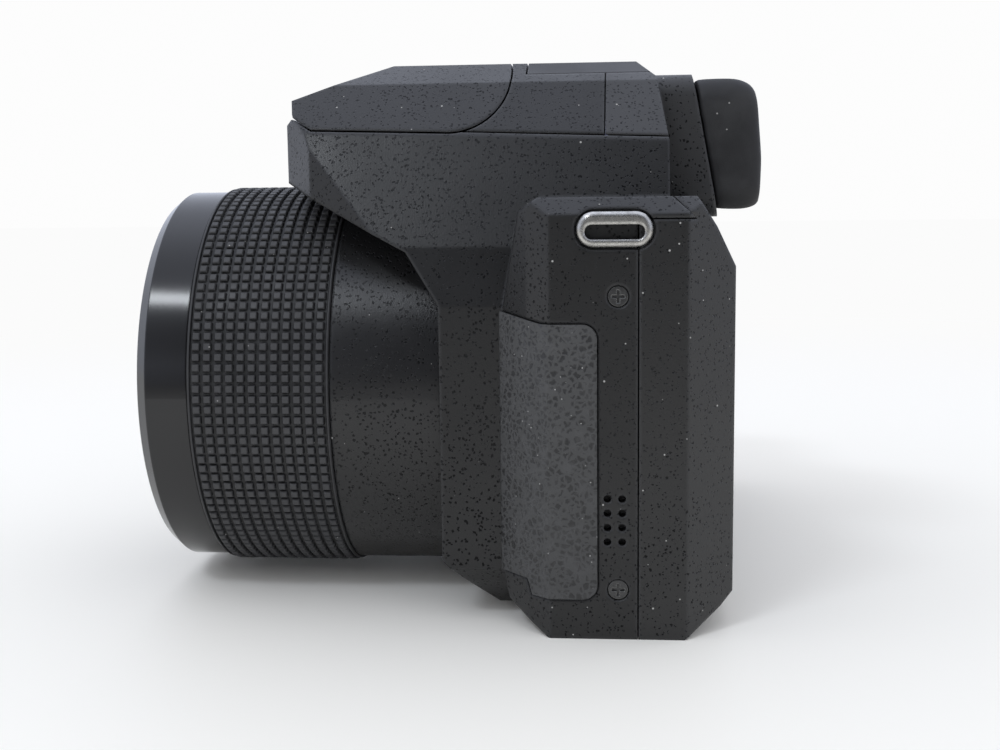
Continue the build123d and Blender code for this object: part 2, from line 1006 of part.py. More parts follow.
with BuildPart() as terminal_cover:
    add(terminal_form(0))
    with BuildSketch(Plane.XY.offset(terminal_low - overrun)):
        with Locations((terminal_x, terminal_back)):
            Circle(terminal_pin / 2 + pin_gap)
    extrude(amount=terminal_high - terminal_low + 2 * overrun, mode=Mode.SUBTRACT)
keep(terminal_cover, "terminal_cover")

with BuildPart() as terminal_hinge_pin:
    with BuildSketch(Plane.XY.offset(terminal_low - wall)):
        with Locations((terminal_x, terminal_back)):
            Circle(terminal_pin / 2)
    extrude(amount=terminal_high - terminal_low + 2 * wall)

# Two sockets on a small board behind the flap
port_width = 4.5
port_heights = (9.0, 12.0)
port_wall = 0.5
port_depth = 6.0
port_y = (terminal_front + terminal_back) / 2 - wall / 2
port_face = -right_reach + wall
port_shares = (0.28, 0.70)
port_centres = [terminal_low + (terminal_high - terminal_low) * share for share in port_shares]


def port_form(gap, depth):
    with BuildPart() as ports:
        for height, z in zip(port_heights, port_centres):
            with BuildSketch(slot_plane(port_face, port_y, z, (-1, 0, 0))):
                Rectangle(port_width + 2 * gap, height + 2 * gap)
            extrude(amount=-depth)
    return ports.part


with BuildPart() as terminal_sockets:
    add(port_form(0, port_depth))
    add(port_form(-port_wall, port_depth - port_wall), mode=Mode.SUBTRACT)
    add(
        grown_box(
            (port_face + port_depth, port_face + port_depth + port_wall),
            (port_y - port_width / 2, port_y + port_width / 2),
            (terminal_low, terminal_high),
            0,
        )
    )
keep(terminal_sockets, "terminal_sockets")

# Rubber skins: the pod beside the lens, the hand grip and the thumb rest
skin_low = 6.2
skin_top = 47.9
skin_back = 3.1
skin_bevel = 2.4
skin_round = 2.2
hand_skin_low = 6.0
hand_skin_top = 46.0
hand_skin_inner = 43.5
hand_skin_back = 2.5
thumb_width = 12.0
thumb_low = 44.0
thumb_high = 55.5
thumb_inset = 3.0


def pod_skin_region(gap):
    # Side outline of the patch, over the pod's front corner and outer face.
    front = -front_reach - overrun
    with BuildPart() as region:
        with BuildSketch(side_plane(left_reach - pod_inset + seam)):
            Polygon(
                (front, skin_low + skin_bevel),
                (-pod_front_mid - seam, skin_low + skin_bevel),
                (-pod_front_mid + skin_bevel / 4, skin_low),
                (-skin_back, skin_low),
                (-skin_back, skin_top),
                (-pod_front_flat - skin_bevel / 2, skin_top),
                (front, skin_top + skin_bevel),
                align=None,
            )
            fillet(vertices().sort_by(Axis.X)[-2:], skin_round)
            if gap:
                offset(amount=gap, kind=Kind.INTERSECTION)
        extrude(amount=pod_inset + overrun)
    return region.part


def hand_skin_region(gap):
    return grown_box(
        (-right_reach - overrun, -hand_skin_inner),
        (-grip_reach - overrun, -hand_skin_back),
        (hand_skin_low, hand_skin_top),
        gap,
    )


with BuildPart() as pod_rubber:
    add(block_form(-rubber_proud))
    add(pod_skin_region(0), mode=Mode.INTERSECT)
    add(block_form(rubber_inset), mode=Mode.SUBTRACT)
keep(pod_rubber, "pod_rubber")

with BuildPart() as grip_rubber:
    add(grip_form(-rubber_proud))
    add(hand_skin_region(0), mode=Mode.INTERSECT)
    add(grip_form(rubber_inset), mode=Mode.SUBTRACT)

with BuildPart() as pod_pocket:
    add(block_form(-rubber_proud - overrun))
    add(pod_skin_region(button_gap), mode=Mode.INTERSECT)
    add(block_form(rubber_inset), mode=Mode.SUBTRACT)

with BuildPart() as hand_pocket:
    add(grip_form(-rubber_proud - overrun))
    add(hand_skin_region(button_gap), mode=Mode.INTERSECT)
    add(grip_form(rubber_inset), mode=Mode.SUBTRACT)

thumb_x = (-right_reach + thumb_inset, -right_reach + thumb_inset + thumb_width)
with BuildPart() as thumb_rest:
    with BuildSketch(Plane(origin=(0, back_reach - rubber_inset, 0), x_dir=(-1, 0, 0), z_dir=(0, 1, 0))):
        with Locations((-(thumb_x[0] + thumb_x[1]) / 2, (thumb_low + thumb_high) / 2)):
            RectangleRounded(thumb_width, thumb_high - thumb_low, screen_corner)
    extrude(amount=rubber_inset + 2 * rubber_proud)

with BuildPart() as hand_rubbers:
    add(grip_rubber.part)
    add(thumb_rest.part)
keep(hand_rubbers, "hand_rubbers")

with BuildPart() as thumb_pocket:
    with BuildSketch(Plane(origin=(0, back_reach - rubber_inset, 0), x_dir=(-1, 0, 0), z_dir=(0, 1, 0))):
        with Locations((-(thumb_x[0] + thumb_x[1]) / 2, (thumb_low + thumb_high) / 2)):
            RectangleRounded(
                thumb_width + 2 * pin_gap, thumb_high - thumb_low + 2 * pin_gap, screen_corner
            )
    extrude(amount=rubber_inset + overrun)


# Screen: glass in a shallow seat, with the panel behind it
def screen_block(width_loss, front, thick):
    with BuildPart() as block:
        with BuildSketch(Plane(origin=(0, front, 0), x_dir=(-1, 0, 0), z_dir=(0, 1, 0))):
            with Locations((-screen_centre, screen_low + screen_height / 2)):
                RectangleRounded(
                    screen_width - 2 * width_loss,
                    screen_height - 2 * width_loss,
                    screen_corner / (2 if width_loss > 0 else 1),
                )
        extrude(amount=thick)
    return block.part


glass_seat = back_reach + screen_proud - screen_glass
with BuildPart() as screen_window:
    add(screen_block(0, glass_seat, screen_glass))
keep(screen_window, "screen_window")

with BuildPart() as screen_panel:
    add(screen_block(screen_border, glass_seat - screen_depth, screen_depth))
keep(screen_panel, "screen_panel")

# Focus lamp's place in the front of the lens box
lamp_place = 33.4
lamp_height = 48.5
lamp_radius = 1.6

# Front and rear covers
with BuildPart() as front_cover:
    add(shell_solid.part)
    add(front_region.part, mode=Mode.INTERSECT)
    add(cavity.part, mode=Mode.SUBTRACT)
    add(shoulder_block.part, mode=Mode.SUBTRACT)
    add(flash_region(flash_gap), mode=Mode.SUBTRACT)
    add(round_bar(lens_plane(0), housing_radius + pin_gap, nose_reach), mode=Mode.SUBTRACT)
    add(pod_pocket.part, mode=Mode.SUBTRACT)
    add(hand_pocket.part, mode=Mode.SUBTRACT)
    add(screw_seats.part, mode=Mode.SUBTRACT)
    add(lug_slots.part, mode=Mode.SUBTRACT)
    add(speaker_holes.part, mode=Mode.SUBTRACT)
    add(door_recess(), mode=Mode.SUBTRACT)
    add(door_hinge_pin.part, mode=Mode.SUBTRACT)
    add(base_pocket.part, mode=Mode.SUBTRACT)
    add(well(shutter_place(), lever_hub + pin_gap), mode=Mode.SUBTRACT)
    add(eye_block.part, mode=Mode.SUBTRACT)
    add(eye_bore(0, -overrun, back_reach + overrun), mode=Mode.SUBTRACT)
    with BuildSketch(front_plane(0)):
        with Locations((-lamp_place, lamp_height)):
            Circle(lamp_radius + pin_gap)
    extrude(amount=nose_reach, mode=Mode.SUBTRACT)
keep(front_cover, "front_cover")

with BuildPart() as rear_cover:
    add(shell_solid.part)
    add(rear_region.part, mode=Mode.INTERSECT)
    add(cavity.part, mode=Mode.SUBTRACT)
    add(shoulder_block.part, mode=Mode.SUBTRACT)
    add(eye_block.part, mode=Mode.SUBTRACT)
    add(screen_block(-pin_gap, glass_seat, screen_glass + overrun), mode=Mode.SUBTRACT)
    add(screen_block(screen_border - pin_gap, glass_seat - overrun, overrun), mode=Mode.SUBTRACT)
    for hole in rear_wells:
        add(hole, mode=Mode.SUBTRACT)
    add(thumb_pocket.part, mode=Mode.SUBTRACT)
    add(screw_seats.part, mode=Mode.SUBTRACT)
    add(lug_slots.part, mode=Mode.SUBTRACT)
    add(terminal_recess(), mode=Mode.SUBTRACT)
    add(terminal_hinge_pin.part, mode=Mode.SUBTRACT)
    add(port_form(0, -wall), mode=Mode.SUBTRACT)
    add(door_recess(), mode=Mode.SUBTRACT)
    add(door_hinge_pin.part, mode=Mode.SUBTRACT)
    add(base_pocket.part, mode=Mode.SUBTRACT)
keep(rear_cover, "rear_cover")

with BuildPart() as top_cover:
    add(shoulder_block.part)
    add(cavity.part, mode=Mode.SUBTRACT)
    add(eye_block.part, mode=Mode.SUBTRACT)
    for hole in top_wells:
        add(hole, mode=Mode.SUBTRACT)
keep(top_cover, "top_cover")


# Roof of the hump between the flash and the eyepiece, its inlaid panel, and the eyepiece cover
panel_half = 14.0
panel_front = 15.0
panel_back = 5.6
panel_thick = 1.0
mic_radius = 1.5
mic_hole = 0.5
mic_place = 6.0
mic_reach = 8.0
panel_side_share = 0.3


def panel_region(gap):
    # Down to the strip on each side, where the panel's edge runs.
    low = strip_height + (hump_height - strip_height) * panel_side_share
    with BuildPart() as region:
        with BuildSketch(front_plane(panel_back)):
            with Locations((0, hump_height)):
                Rectangle(2 * (panel_half + gap), 2 * (hump_height - low + gap) + wall)
        extrude(amount=panel_back + panel_front + 2 * gap)
    return region.part


with BuildPart() as hump_panel:
    add(core_outer)
    add(panel_region(0), mode=Mode.INTERSECT)
    add(core_form(panel_thick), mode=Mode.SUBTRACT)
    with BuildSketch(Plane.XY.offset(strip_height)):
        with Locations((mic_place, -mic_reach), (-mic_place, -mic_reach)):
            Circle(mic_hole)
    extrude(amount=overrun, mode=Mode.SUBTRACT)
keep(hump_panel, "hump_panel")

with BuildPart() as panel_pocket:
    add(core_form(-overrun))
    add(panel_region(button_gap), mode=Mode.INTERSECT)
    add(core_form(panel_thick), mode=Mode.SUBTRACT)

with BuildPart() as hump_cover:
    add(core_outer)
    add(roof_region(-flash_pin_reach, -roof_split - seam), mode=Mode.INTERSECT)
    add(flash_region(flash_gap), mode=Mode.SUBTRACT)
    add(cavity.part, mode=Mode.SUBTRACT)
    add(panel_pocket.part, mode=Mode.SUBTRACT)
    with BuildSketch(Plane.XY.offset(strip_height)):
        with Locations((mic_place, -mic_reach), (-mic_place, -mic_reach)):
            Circle(mic_hole)
    extrude(amount=overrun, mode=Mode.SUBTRACT)
keep(hump_cover, "hump_cover")

with BuildPart() as speaker_and_microphones:
    add(speaker.part)
    with BuildSketch(Plane.XY.offset(hump_height - wall - mic_radius)):
        with Locations((mic_place, -mic_reach), (-mic_place, -mic_reach)):
            Circle(mic_radius)
    extrude(amount=mic_radius)
keep(speaker_and_microphones, "speaker_and_microphones")

# Eyepiece
cup_lip = 7.0
cup_high_lip = 10.4
cup_low_lip = 6.8
cup_wall_low = 1.3
cup_wall_high = 0.8
eye_glass = 3.0
finder_wall = 1.2
finder_front = 1.0
finder_back = 9.0
diopter_radius = 2.8
diopter_thick = 1.6
diopter_grooves = 20
diopter_groove = 0.14
diopter_shaft_length = 3.6
diopter_height = hump_height - 20.9
diopter_place = 11.6
diopter_shaft = 1.2

with BuildPart() as viewfinder_cover:
    add(core_outer)
    add(roof_region(-roof_split, core_back), mode=Mode.INTERSECT)
    add(eye_block.part)
    add(cavity.part, mode=Mode.SUBTRACT)
    add(panel_pocket.part, mode=Mode.SUBTRACT)
    add(eye_bore(0, -overrun, back_reach + overrun), mode=Mode.SUBTRACT)
    with BuildSketch(slot_plane(-eye_half, diopter_place, diopter_height, (1, 0, 0))):
        Circle(diopter_shaft + pin_gap)
    extrude(amount=diopter_shaft_length, mode=Mode.SUBTRACT)
keep(viewfinder_cover, "viewfinder_cover")

with BuildPart() as diopter_dial:
    with BuildSketch(slot_plane(-eye_half - button_gap, diopter_place, diopter_height, (-1, 0, 0))):
        Circle(diopter_radius)
        with PolarLocations(diopter_radius, diopter_grooves):
            Circle(diopter_groove, mode=Mode.SUBTRACT)
    extrude(amount=diopter_thick)
    with BuildSketch(slot_plane(-eye_half - button_gap, diopter_place, diopter_height, (1, 0, 0))):
        Circle(diopter_shaft)
    extrude(amount=diopter_shaft_length)
keep(diopter_dial, "diopter_dial")

with BuildPart() as eyecup:
    with BuildSketch(front_plane(eye_low_back + cup_lip + overrun)):
        with Locations((0, (eye_low + cup_wall_low + eye_high - cup_wall_high) / 2)):
            RectangleRounded(
                2 * eye_half, eye_high - eye_low - cup_wall_low - cup_wall_high, eye_corner
            )
            RectangleRounded(eye_bore_width, eye_bore_height, eye_corner / 2, mode=Mode.SUBTRACT)
    extrude(amount=2 * cup_lip + 2 * overrun)
    with BuildSketch(side_plane(0)):
        Polygon(
            (eye_top_back, eye_high),
            (eye_low_back, eye_low),
            (eye_low_back + cup_low_lip, eye_low),
            (eye_low_back + cup_lip + button_gap, eye_height - eye_corner / 2),
            (eye_top_back + cup_high_lip, eye_high),
            align=None,
        )
    extrude(amount=eye_half + overrun, both=True, mode=Mode.INTERSECT)
keep(eyecup, "eyecup")

with BuildPart() as viewfinder_optics:
    # Eyepiece glass, and the small display in its tube.
    add(eye_bore(pin_gap, eye_top_back - eye_glass, eye_top_back))
    add(eye_bore(pin_gap, -finder_front - finder_wall, finder_back))
    add(eye_bore(finder_wall, -finder_front, finder_back), mode=Mode.SUBTRACT)
keep(viewfinder_optics, "viewfinder_optics")


# Flash head: a hollow lid with lugs on the pin, open underneath
ear_place = 9.0
ear_thick = 2.0
ear_radius = 1.4
ear_room = 1.7
lug_room = 0.3
lug_thick = 1.5
lug_radius = 1.6
flash_swing = 60.0
frame_thick = 1.2
frame_sweep = 84
frame_front = 34.5
window_half = 14.0
window_thick = 0.8
window_seat = 2.4
lamp_front = 48.0
lamp_back = 36.0
lamp_low = hump_height - 17.0
lamp_high = hump_height - 9.9
lamp_wall = 1.0


def pin_bar(radius, near, far):
    # Bar along X about the flash pin's axis, between two places.
    with BuildPart() as bar:
        with BuildSketch(side_plane(near)):
            with Locations((-flash_pin_reach, flash_pin_height)):
                Circle(radius)
        extrude(amount=far - near)
    return bar.part


ear_in = ear_place - ear_thick / 2
ear_out = ear_place + ear_thick / 2
tail_low = flash_pin_height - flash_tail_radius

# Hollow inside the lid: shrunk from the outside and from the tail, open below
with BuildPart() as head_room:
    add(core_form(flash_wall))
    with BuildSketch(side_plane(0)):
        tail = flash_tail_radius - flash_wall
        with BuildLine():
            Polyline(
                (-flash_pin_reach, hump_height),
                (-nose_reach, hump_height),
                (-nose_reach, lip_height + flash_wall / 4),
                (-nose_shoulder_reach + flash_wall, tail_low - flash_wall),
                (-flash_pin_reach, tail_low - flash_wall),
                (-flash_pin_reach, flash_pin_height - tail),
            )
            CenterArc((-flash_pin_reach, flash_pin_height), tail, -90, 180)
            Line(
                (-flash_pin_reach, flash_pin_height + tail),
                (-flash_pin_reach, hump_height),
            )
        make_face()
    extrude(amount=core_half, both=True, mode=Mode.INTERSECT)

with BuildPart() as flash_head:
    add(core_outer)
    add(flash_region(0), mode=Mode.INTERSECT)
    add(head_room.part, mode=Mode.SUBTRACT)
    for side in (1, -1):
        inner = side * (ear_in - lug_room)
        add(pin_bar(lug_radius, inner - side * lug_thick, inner))
        near = side * (ear_in - lug_room)
        far = side * (ear_out + lug_room)
        add(pin_bar(ear_room, near, far), mode=Mode.SUBTRACT)
        add(
            grown_box(
                (min(near, far), max(near, far)),
                (-flash_pin_reach - ear_room, -flash_pin_reach + flash_tail_radius + overrun),
                (tail_low - overrun, flash_pin_height),
                0,
            ),
            mode=Mode.SUBTRACT,
        )
    add(pin_bar(flash_pin_radius + pin_gap, -ear_out, ear_out), mode=Mode.SUBTRACT)
keep(flash_head, "flash_head")

with BuildPart() as hinge_pins:
    # The flash head's, battery door's and terminal flap's pins.
    add(pin_bar(flash_pin_radius, -ear_out, ear_out))
    add(door_hinge_pin.part)
    add(terminal_hinge_pin.part)
keep(hinge_pins, "hinge_pins")

with BuildPart() as flash_frame:
    # Floor and curved wall under the tail, with two ears that hold the pin.
    frame_room = flash_tail_radius + flash_gap
    with BuildSketch(side_plane(0)):
        with BuildLine():
            centre = (-flash_pin_reach, flash_pin_height)
            CenterArc(centre, frame_room, -90, frame_sweep)
            CenterArc(centre, frame_room + frame_thick, -90, frame_sweep)
            Line(
                (-flash_pin_reach, flash_pin_height - frame_room),
                (-flash_pin_reach, flash_pin_height - frame_room - frame_thick),
            )
            turn = math.radians(frame_sweep - 90)
            Line(
                (
                    centre[0] + frame_room * math.cos(turn),
                    centre[1] + frame_room * math.sin(turn),
                ),
                (
                    centre[0] + (frame_room + frame_thick) * math.cos(turn),
                    centre[1] + (frame_room + frame_thick) * math.sin(turn),
                ),
            )
        make_face()
    extrude(amount=core_half, both=True)
    add(
        grown_box(
            (-core_half, core_half),
            (-frame_front, -flash_pin_reach),
            (tail_low - flash_gap - frame_thick, tail_low - flash_gap),
            0,
        )
    )
    add(core_form(wall), mode=Mode.INTERSECT)
    for side in (1, -1):
        near = side * ear_in
        add(pin_bar(ear_radius, near, side * ear_out))
        add(
            grown_box(
                (min(near, side * ear_out), max(near, side * ear_out)),
                (-flash_pin_reach - ear_radius, -flash_pin_reach + ear_radius),
                (tail_low - flash_gap - frame_thick, flash_pin_height),
                0,
            )
        )
    add(pin_bar(flash_pin_radius, -ear_out, ear_out), mode=Mode.SUBTRACT)
keep(flash_frame, "flash_frame")

# Lamp housing under the lid: its window faces forwards once the head has swung up
swing = math.radians(flash_swing)
window_run = 9.6
window_fall = window_run * math.cos(swing) / math.sin(swing)
lamp_points = [
    (-lamp_front, lamp_high),
    (-lamp_front, lamp_low + window_fall),
    (-lamp_front + window_run, lamp_low),
    (-lamp_back, lamp_low + window_fall / 2),
    (-lamp_back, lamp_high),
]
window_plane = Plane(
    origin=(0, -lamp_front, lamp_low + window_fall),
    x_dir=(1, 0, 0),
    z_dir=(0, -math.cos(swing), -math.sin(swing)),
)
window_width = window_run / math.sin(swing)


def window_block(gap, depth, thick):
    with BuildPart() as block:
        with BuildSketch(window_plane.offset(-depth)):
            with Locations((0, -window_width / 2)):
                Rectangle(2 * (window_half - gap), window_width - 2 * (lamp_wall + gap))
        extrude(amount=thick)
    return block.part


with BuildPart() as flash_lamp:
    add(prism(side_plane(0), lamp_points, window_half + lamp_wall, both=True))
    add(core_form(flash_wall), mode=Mode.INTERSECT)
    add(window_block(0, window_thick, window_thick + overrun), mode=Mode.SUBTRACT)
    add(window_block(lamp_wall, window_seat, window_seat), mode=Mode.SUBTRACT)
keep(flash_lamp, "flash_lamp")

with BuildPart() as flash_window:
    add(window_block(0, window_thick, window_thick))
keep(flash_window, "flash_window")

# Lens: fixed tube, cam ring and two barrels that run out of it
lens_base_front = 10.0
lens_base_thick = 3.0
housing_front = 73.5
ring_split = 45.8
sleeve_front = 68.9
collar_radius = 33.0
collar_edge = 75.96
collar_nose = 31.6
rear_wall_gap = 4.0
mid_front = 74.5
mid_back = 32.0
front_front = 76.4
front_back = 36.0
sleeve_ribs = 12
rib_width = 1.1
sleeve_rim = 0.6

with BuildPart() as lens_housing:
    add(round_bar(lens_plane(-lens_base_front), housing_radius, housing_front - lens_base_front))
    add(round_bar(lens_plane(-box_reach - seam / 2), ring_radius, ring_split - box_reach - seam))
    add(
        round_bar(
            lens_plane(-lens_base_front + overrun),
            housing_radius - housing_wall,
            housing_front + overrun,
        ),
        mode=Mode.SUBTRACT,
    )
keep(lens_housing, "lens_housing")


with BuildPart() as grip_sleeve:
    add(
        round_bar(
            lens_plane(-ring_split), sleeve_radius, sleeve_front - ring_split, housing_radius + pin_gap
        )
    )
    rib_run = sleeve_front - ring_split - 2 * sleeve_rim
    for n in range(sleeve_ribs):
        place = -ring_split - sleeve_rim - rib_run * (n + 0.5) / sleeve_ribs
        add(
            round_bar(
                lens_plane(place + rib_width / 2),
                sleeve_radius + stud_height,
                rib_width,
                housing_radius + pin_gap,
            )
        )
keep(grip_sleeve, "grip_sleeve")

with BuildPart() as front_collar:
    with BuildSketch(lens_plane(-sleeve_front - seam)):
        Circle(collar_radius)
    extrude(amount=collar_edge - sleeve_front - seam)
    with BuildSketch(lens_plane(-collar_edge)):
        Circle(collar_radius)
    with BuildSketch(lens_plane(-lens_reach)):
        Circle(collar_nose)
    loft()
    add(
        round_bar(lens_plane(0), housing_radius + pin_gap, housing_front + pin_gap),
        mode=Mode.SUBTRACT,
    )
    add(round_bar(lens_plane(0), mid_radius + run_gap, nose_reach * 2), mode=Mode.SUBTRACT)
keep(front_collar, "front_collar")

with BuildPart() as cam_ring:
    add(
        round_bar(
            lens_plane(-lens_base_front - rear_wall_gap),
            cam_radius,
            housing_front - lens_base_front - 2 * rear_wall_gap,
            cam_radius - cam_wall,
        )
    )
keep(cam_ring, "cam_ring")

with BuildPart() as mid_barrel:
    add(round_bar(lens_plane(-mid_back), mid_radius, mid_front - mid_back, mid_radius - mid_wall))
keep(mid_barrel, "mid_barrel")

cell_depth = 9.0
name_ring_depth = 2.5
name_ring_chamfer = 1.75
front_glass_radius = 20.7
front_glass_sink = 1.6
front_glass_thick = 8.0
front_glass_bulge = 2.4
front_bore = front_radius - front_wall
with BuildPart() as front_barrel:
    add(round_bar(lens_plane(-front_back), front_radius, front_front - front_back, front_bore))
    add(
        round_bar(
            lens_plane(-front_front + name_ring_depth + cell_depth),
            front_bore,
            cell_depth,
            front_glass_radius,
        )
    )
keep(front_barrel, "front_barrel")

with BuildPart() as name_ring:
    with BuildSketch(lens_plane(-front_front + name_ring_depth)):
        Circle(front_bore - pin_gap)
        Circle(front_glass_radius - pin_gap, mode=Mode.SUBTRACT)
    extrude(amount=name_ring_depth)
    bore_edge = name_ring.edges().group_by(Axis.Y)[0].sort_by(SortBy.RADIUS)[0:1]
    chamfer(bore_edge, name_ring_chamfer)
keep(name_ring, "name_ring")


def lens_glass(radius, front, thick, bulge):
    # Glass with a domed front face.
    dome = (radius**2 + bulge**2) / (2 * bulge)
    with BuildPart() as glass:
        with BuildSketch(side_plane(0)):
            with BuildLine():
                Polyline(
                    (-front + bulge, lens_axis + radius),
                    (-front + thick, lens_axis + radius),
                    (-front + thick, lens_axis),
                    (-front, lens_axis),
                )
                RadiusArc((-front, lens_axis), (-front + bulge, lens_axis + radius), dome)
            make_face()
        revolve(axis=Axis((0, 0, lens_axis), (0, 1, 0)))
    return glass.part


with BuildPart() as front_lens:
    add(
        lens_glass(
            front_glass_radius - pin_gap,
            front_front - front_glass_sink,
            front_glass_thick,
            front_glass_bulge,
        )
    )
keep(front_lens, "front_lens")


# Zoom group inside the front barrel: glass in a holder, with the shutter unit behind it
zoom_front = 56.0
zoom_thick = 6.0
zoom_glass_radius = 10.0
zoom_glass_bulge = 1.2
iris_thick = 2.0
iris_radius = 24.0
iris_bore = 8.0
zoom_radius = front_bore - run_gap

with BuildPart() as zoom_group:
    add(round_bar(lens_plane(-zoom_front + zoom_thick), zoom_radius, zoom_thick, zoom_glass_radius))
    add(lens_glass(zoom_glass_radius - pin_gap, zoom_front, zoom_thick, zoom_glass_bulge))
    add(
        round_bar(
            lens_plane(-zoom_front + zoom_thick + iris_thick + pin_gap), iris_radius, iris_thick, iris_bore
        )
    )
keep(zoom_group, "zoom_group")

# Focus group on two rods behind it
focus_front = 30.0
focus_thick = 4.0
focus_radius = 18.0
focus_glass_radius = 8.0
focus_glass_bulge = 0.9
rod_radius = 1.0
rod_place = 15.0
rod_front = 42.0

with BuildPart() as focus_group:
    add(round_bar(lens_plane(-focus_front + focus_thick), focus_radius, focus_thick, focus_glass_radius))
    with BuildSketch(lens_plane(-focus_front + focus_thick)):
        with Locations((rod_place, 0), (-rod_place, 0)):
            Circle(rod_radius + pin_gap)
    extrude(amount=focus_thick, mode=Mode.SUBTRACT)
    add(lens_glass(focus_glass_radius - pin_gap, focus_front, focus_thick, focus_glass_bulge))
keep(focus_group, "focus_group")

# Lens base: the plate that carries the tube, the motor and the sensor
lens_base_low = 4.0
lens_base_high = 66.0
light_width = 20.0
light_height = 16.0
motor_place = 27.5
motor_drop = 24.5
motor_radius = 3.6
motor_length = 9.0
shaft_radius = 0.8
shaft_length = 4.0

with BuildPart() as lens_base:
    with BuildSketch(front_plane(-lens_base_front + lens_base_thick)):
        with Locations((0, (lens_base_low + lens_base_high) / 2)):
            Rectangle(2 * core_half, lens_base_high - lens_base_low)
        with Locations((0, lens_axis)):
            Rectangle(light_width, light_height, mode=Mode.SUBTRACT)
    extrude(amount=lens_base_thick)
    add(core_form(wall), mode=Mode.INTERSECT)

motor_at = Plane(
    origin=(-motor_place, -lens_base_front - pin_gap, lens_axis - motor_drop),
    x_dir=(1, 0, 0),
    z_dir=(0, -1, 0),
)
with BuildPart() as lens_carrier:
    # Base plate, the focus group's two rods, and the zoom motor.
    add(lens_base.part)
    with BuildSketch(lens_plane(-lens_base_front - pin_gap)):
        with Locations((rod_place, 0), (-rod_place, 0)):
            Circle(rod_radius)
    extrude(amount=rod_front - lens_base_front)
    with BuildSketch(motor_at):
        Circle(motor_radius)
    extrude(amount=motor_length)
    with BuildSketch(motor_at.offset(motor_length)):
        Circle(shaft_radius)
    extrude(amount=shaft_length)
keep(lens_carrier, "lens_carrier")

# Sensor: it shifts sideways on a slider and up or down on the stage
slider_gap = 0.3
slider_thick = 1.0
slider_half = 20.0
slider_room = 1.0
stage_half = 16.0
sensor_width = 12.0
sensor_height = 10.0
sensor_thick = 2.2
lens_base_back = -lens_base_front + lens_base_thick

with BuildPart() as sensor_slider:
    with BuildSketch(lens_plane(lens_base_back + slider_gap + slider_thick)):
        Rectangle(2 * slider_half, 2 * slider_half)
        Rectangle(
            sensor_width + 2 * slider_room + overrun, sensor_height + 2 * slider_room, mode=Mode.SUBTRACT
        )
    extrude(amount=slider_thick)
keep(sensor_slider, "sensor_slider")

stage_front = lens_base_back + 2 * slider_gap + slider_thick
with BuildPart() as sensor_stage:
    with BuildSketch(lens_plane(stage_front + slider_thick)):
        Rectangle(2 * stage_half, 2 * stage_half)
    extrude(amount=slider_thick)
    with BuildSketch(lens_plane(stage_front - pin_gap)):
        Rectangle(sensor_width, sensor_height)
    extrude(amount=sensor_thick)
keep(sensor_stage, "sensor_stage")

# Chassis: a pressed frame behind the lens, with pillars to the lens base
chassis_front = 6.0
chassis_thick = 1.2
chassis_half = 33.0
chassis_low = 6.0
chassis_high = 62.0
pillar_radius = 2.0
pillar_inset = 3.5

with BuildPart() as chassis:
    with BuildSketch(front_plane(chassis_front + chassis_thick)):
        with Locations((0, (chassis_low + chassis_high) / 2)):
            Rectangle(2 * chassis_half, chassis_high - chassis_low)
            Rectangle(2 * slider_half, chassis_half / 2, mode=Mode.SUBTRACT)
    extrude(amount=chassis_thick)
    with BuildSketch(front_plane(chassis_front)):
        for x in (chassis_half - pillar_inset, pillar_inset - chassis_half):
            for z in (chassis_low + 2 * pillar_inset, chassis_high - pillar_inset):
                with Locations((x, z)):
                    Circle(pillar_radius)
    extrude(amount=chassis_front - lens_base_back)
    add(cavity.part, mode=Mode.INTERSECT)
keep(chassis, "chassis")

# Main board on the back of the chassis, with its larger chips
capacitor_radius = 4.0
capacitor_tall = 26.0
capacitor_low = 20.0
board_thick = 1.0
chip_thick = 1.4
with BuildPart() as main_board:
    with BuildSketch(front_plane(chassis_front + chassis_thick + board_thick)):
        with Locations((0, (chassis_low + chassis_high - 2 * pillar_inset) / 2)):
            Rectangle(2 * (chassis_half - wall), chassis_high - chassis_low - 2 * pillar_inset)
    extrude(amount=board_thick)
    with BuildSketch(front_plane(chassis_front + chassis_thick + board_thick + chip_thick)):
        with Locations((0, lens_axis)):
            Rectangle(sensor_width, sensor_width)
        with Locations((-2 * sensor_width, lens_axis), (2 * sensor_width, lens_axis - sensor_height)):
            Rectangle(sensor_height, sensor_width)
    extrude(amount=chip_thick)
    # The flash's capacitor stands beside the lens.
    with BuildSketch(Plane.XY.offset(capacitor_low)):
        with Locations((-core_half - capacitor_radius, -front_reach + wall + capacitor_radius)):
            Circle(capacitor_radius)
    extrude(amount=capacitor_tall)
keep(main_board, "main_board")

# Battery and memory card in their chamber in the hand grip
battery_wide = 10.0
battery_deep = 33.0
battery_tall = 46.0
chamber_wall = 1.0
chamber_low = wall + run_gap
battery_left = door_right - run_gap
battery_front = door_front - run_gap
card_thick = 2.1
card_deep = 24.0
card_tall = 32.0
card_gap = 0.3
card_corner = 3.2

battery_x = (-battery_left, -battery_left + battery_wide)
battery_y = (-battery_front, -battery_front + battery_deep)
card_x = (battery_x[1] + card_gap + chamber_wall + card_gap, 0)
card_x = (card_x[0], card_x[0] + card_thick)
card_y = (battery_y[0] + chamber_wall, battery_y[0] + chamber_wall + card_deep)

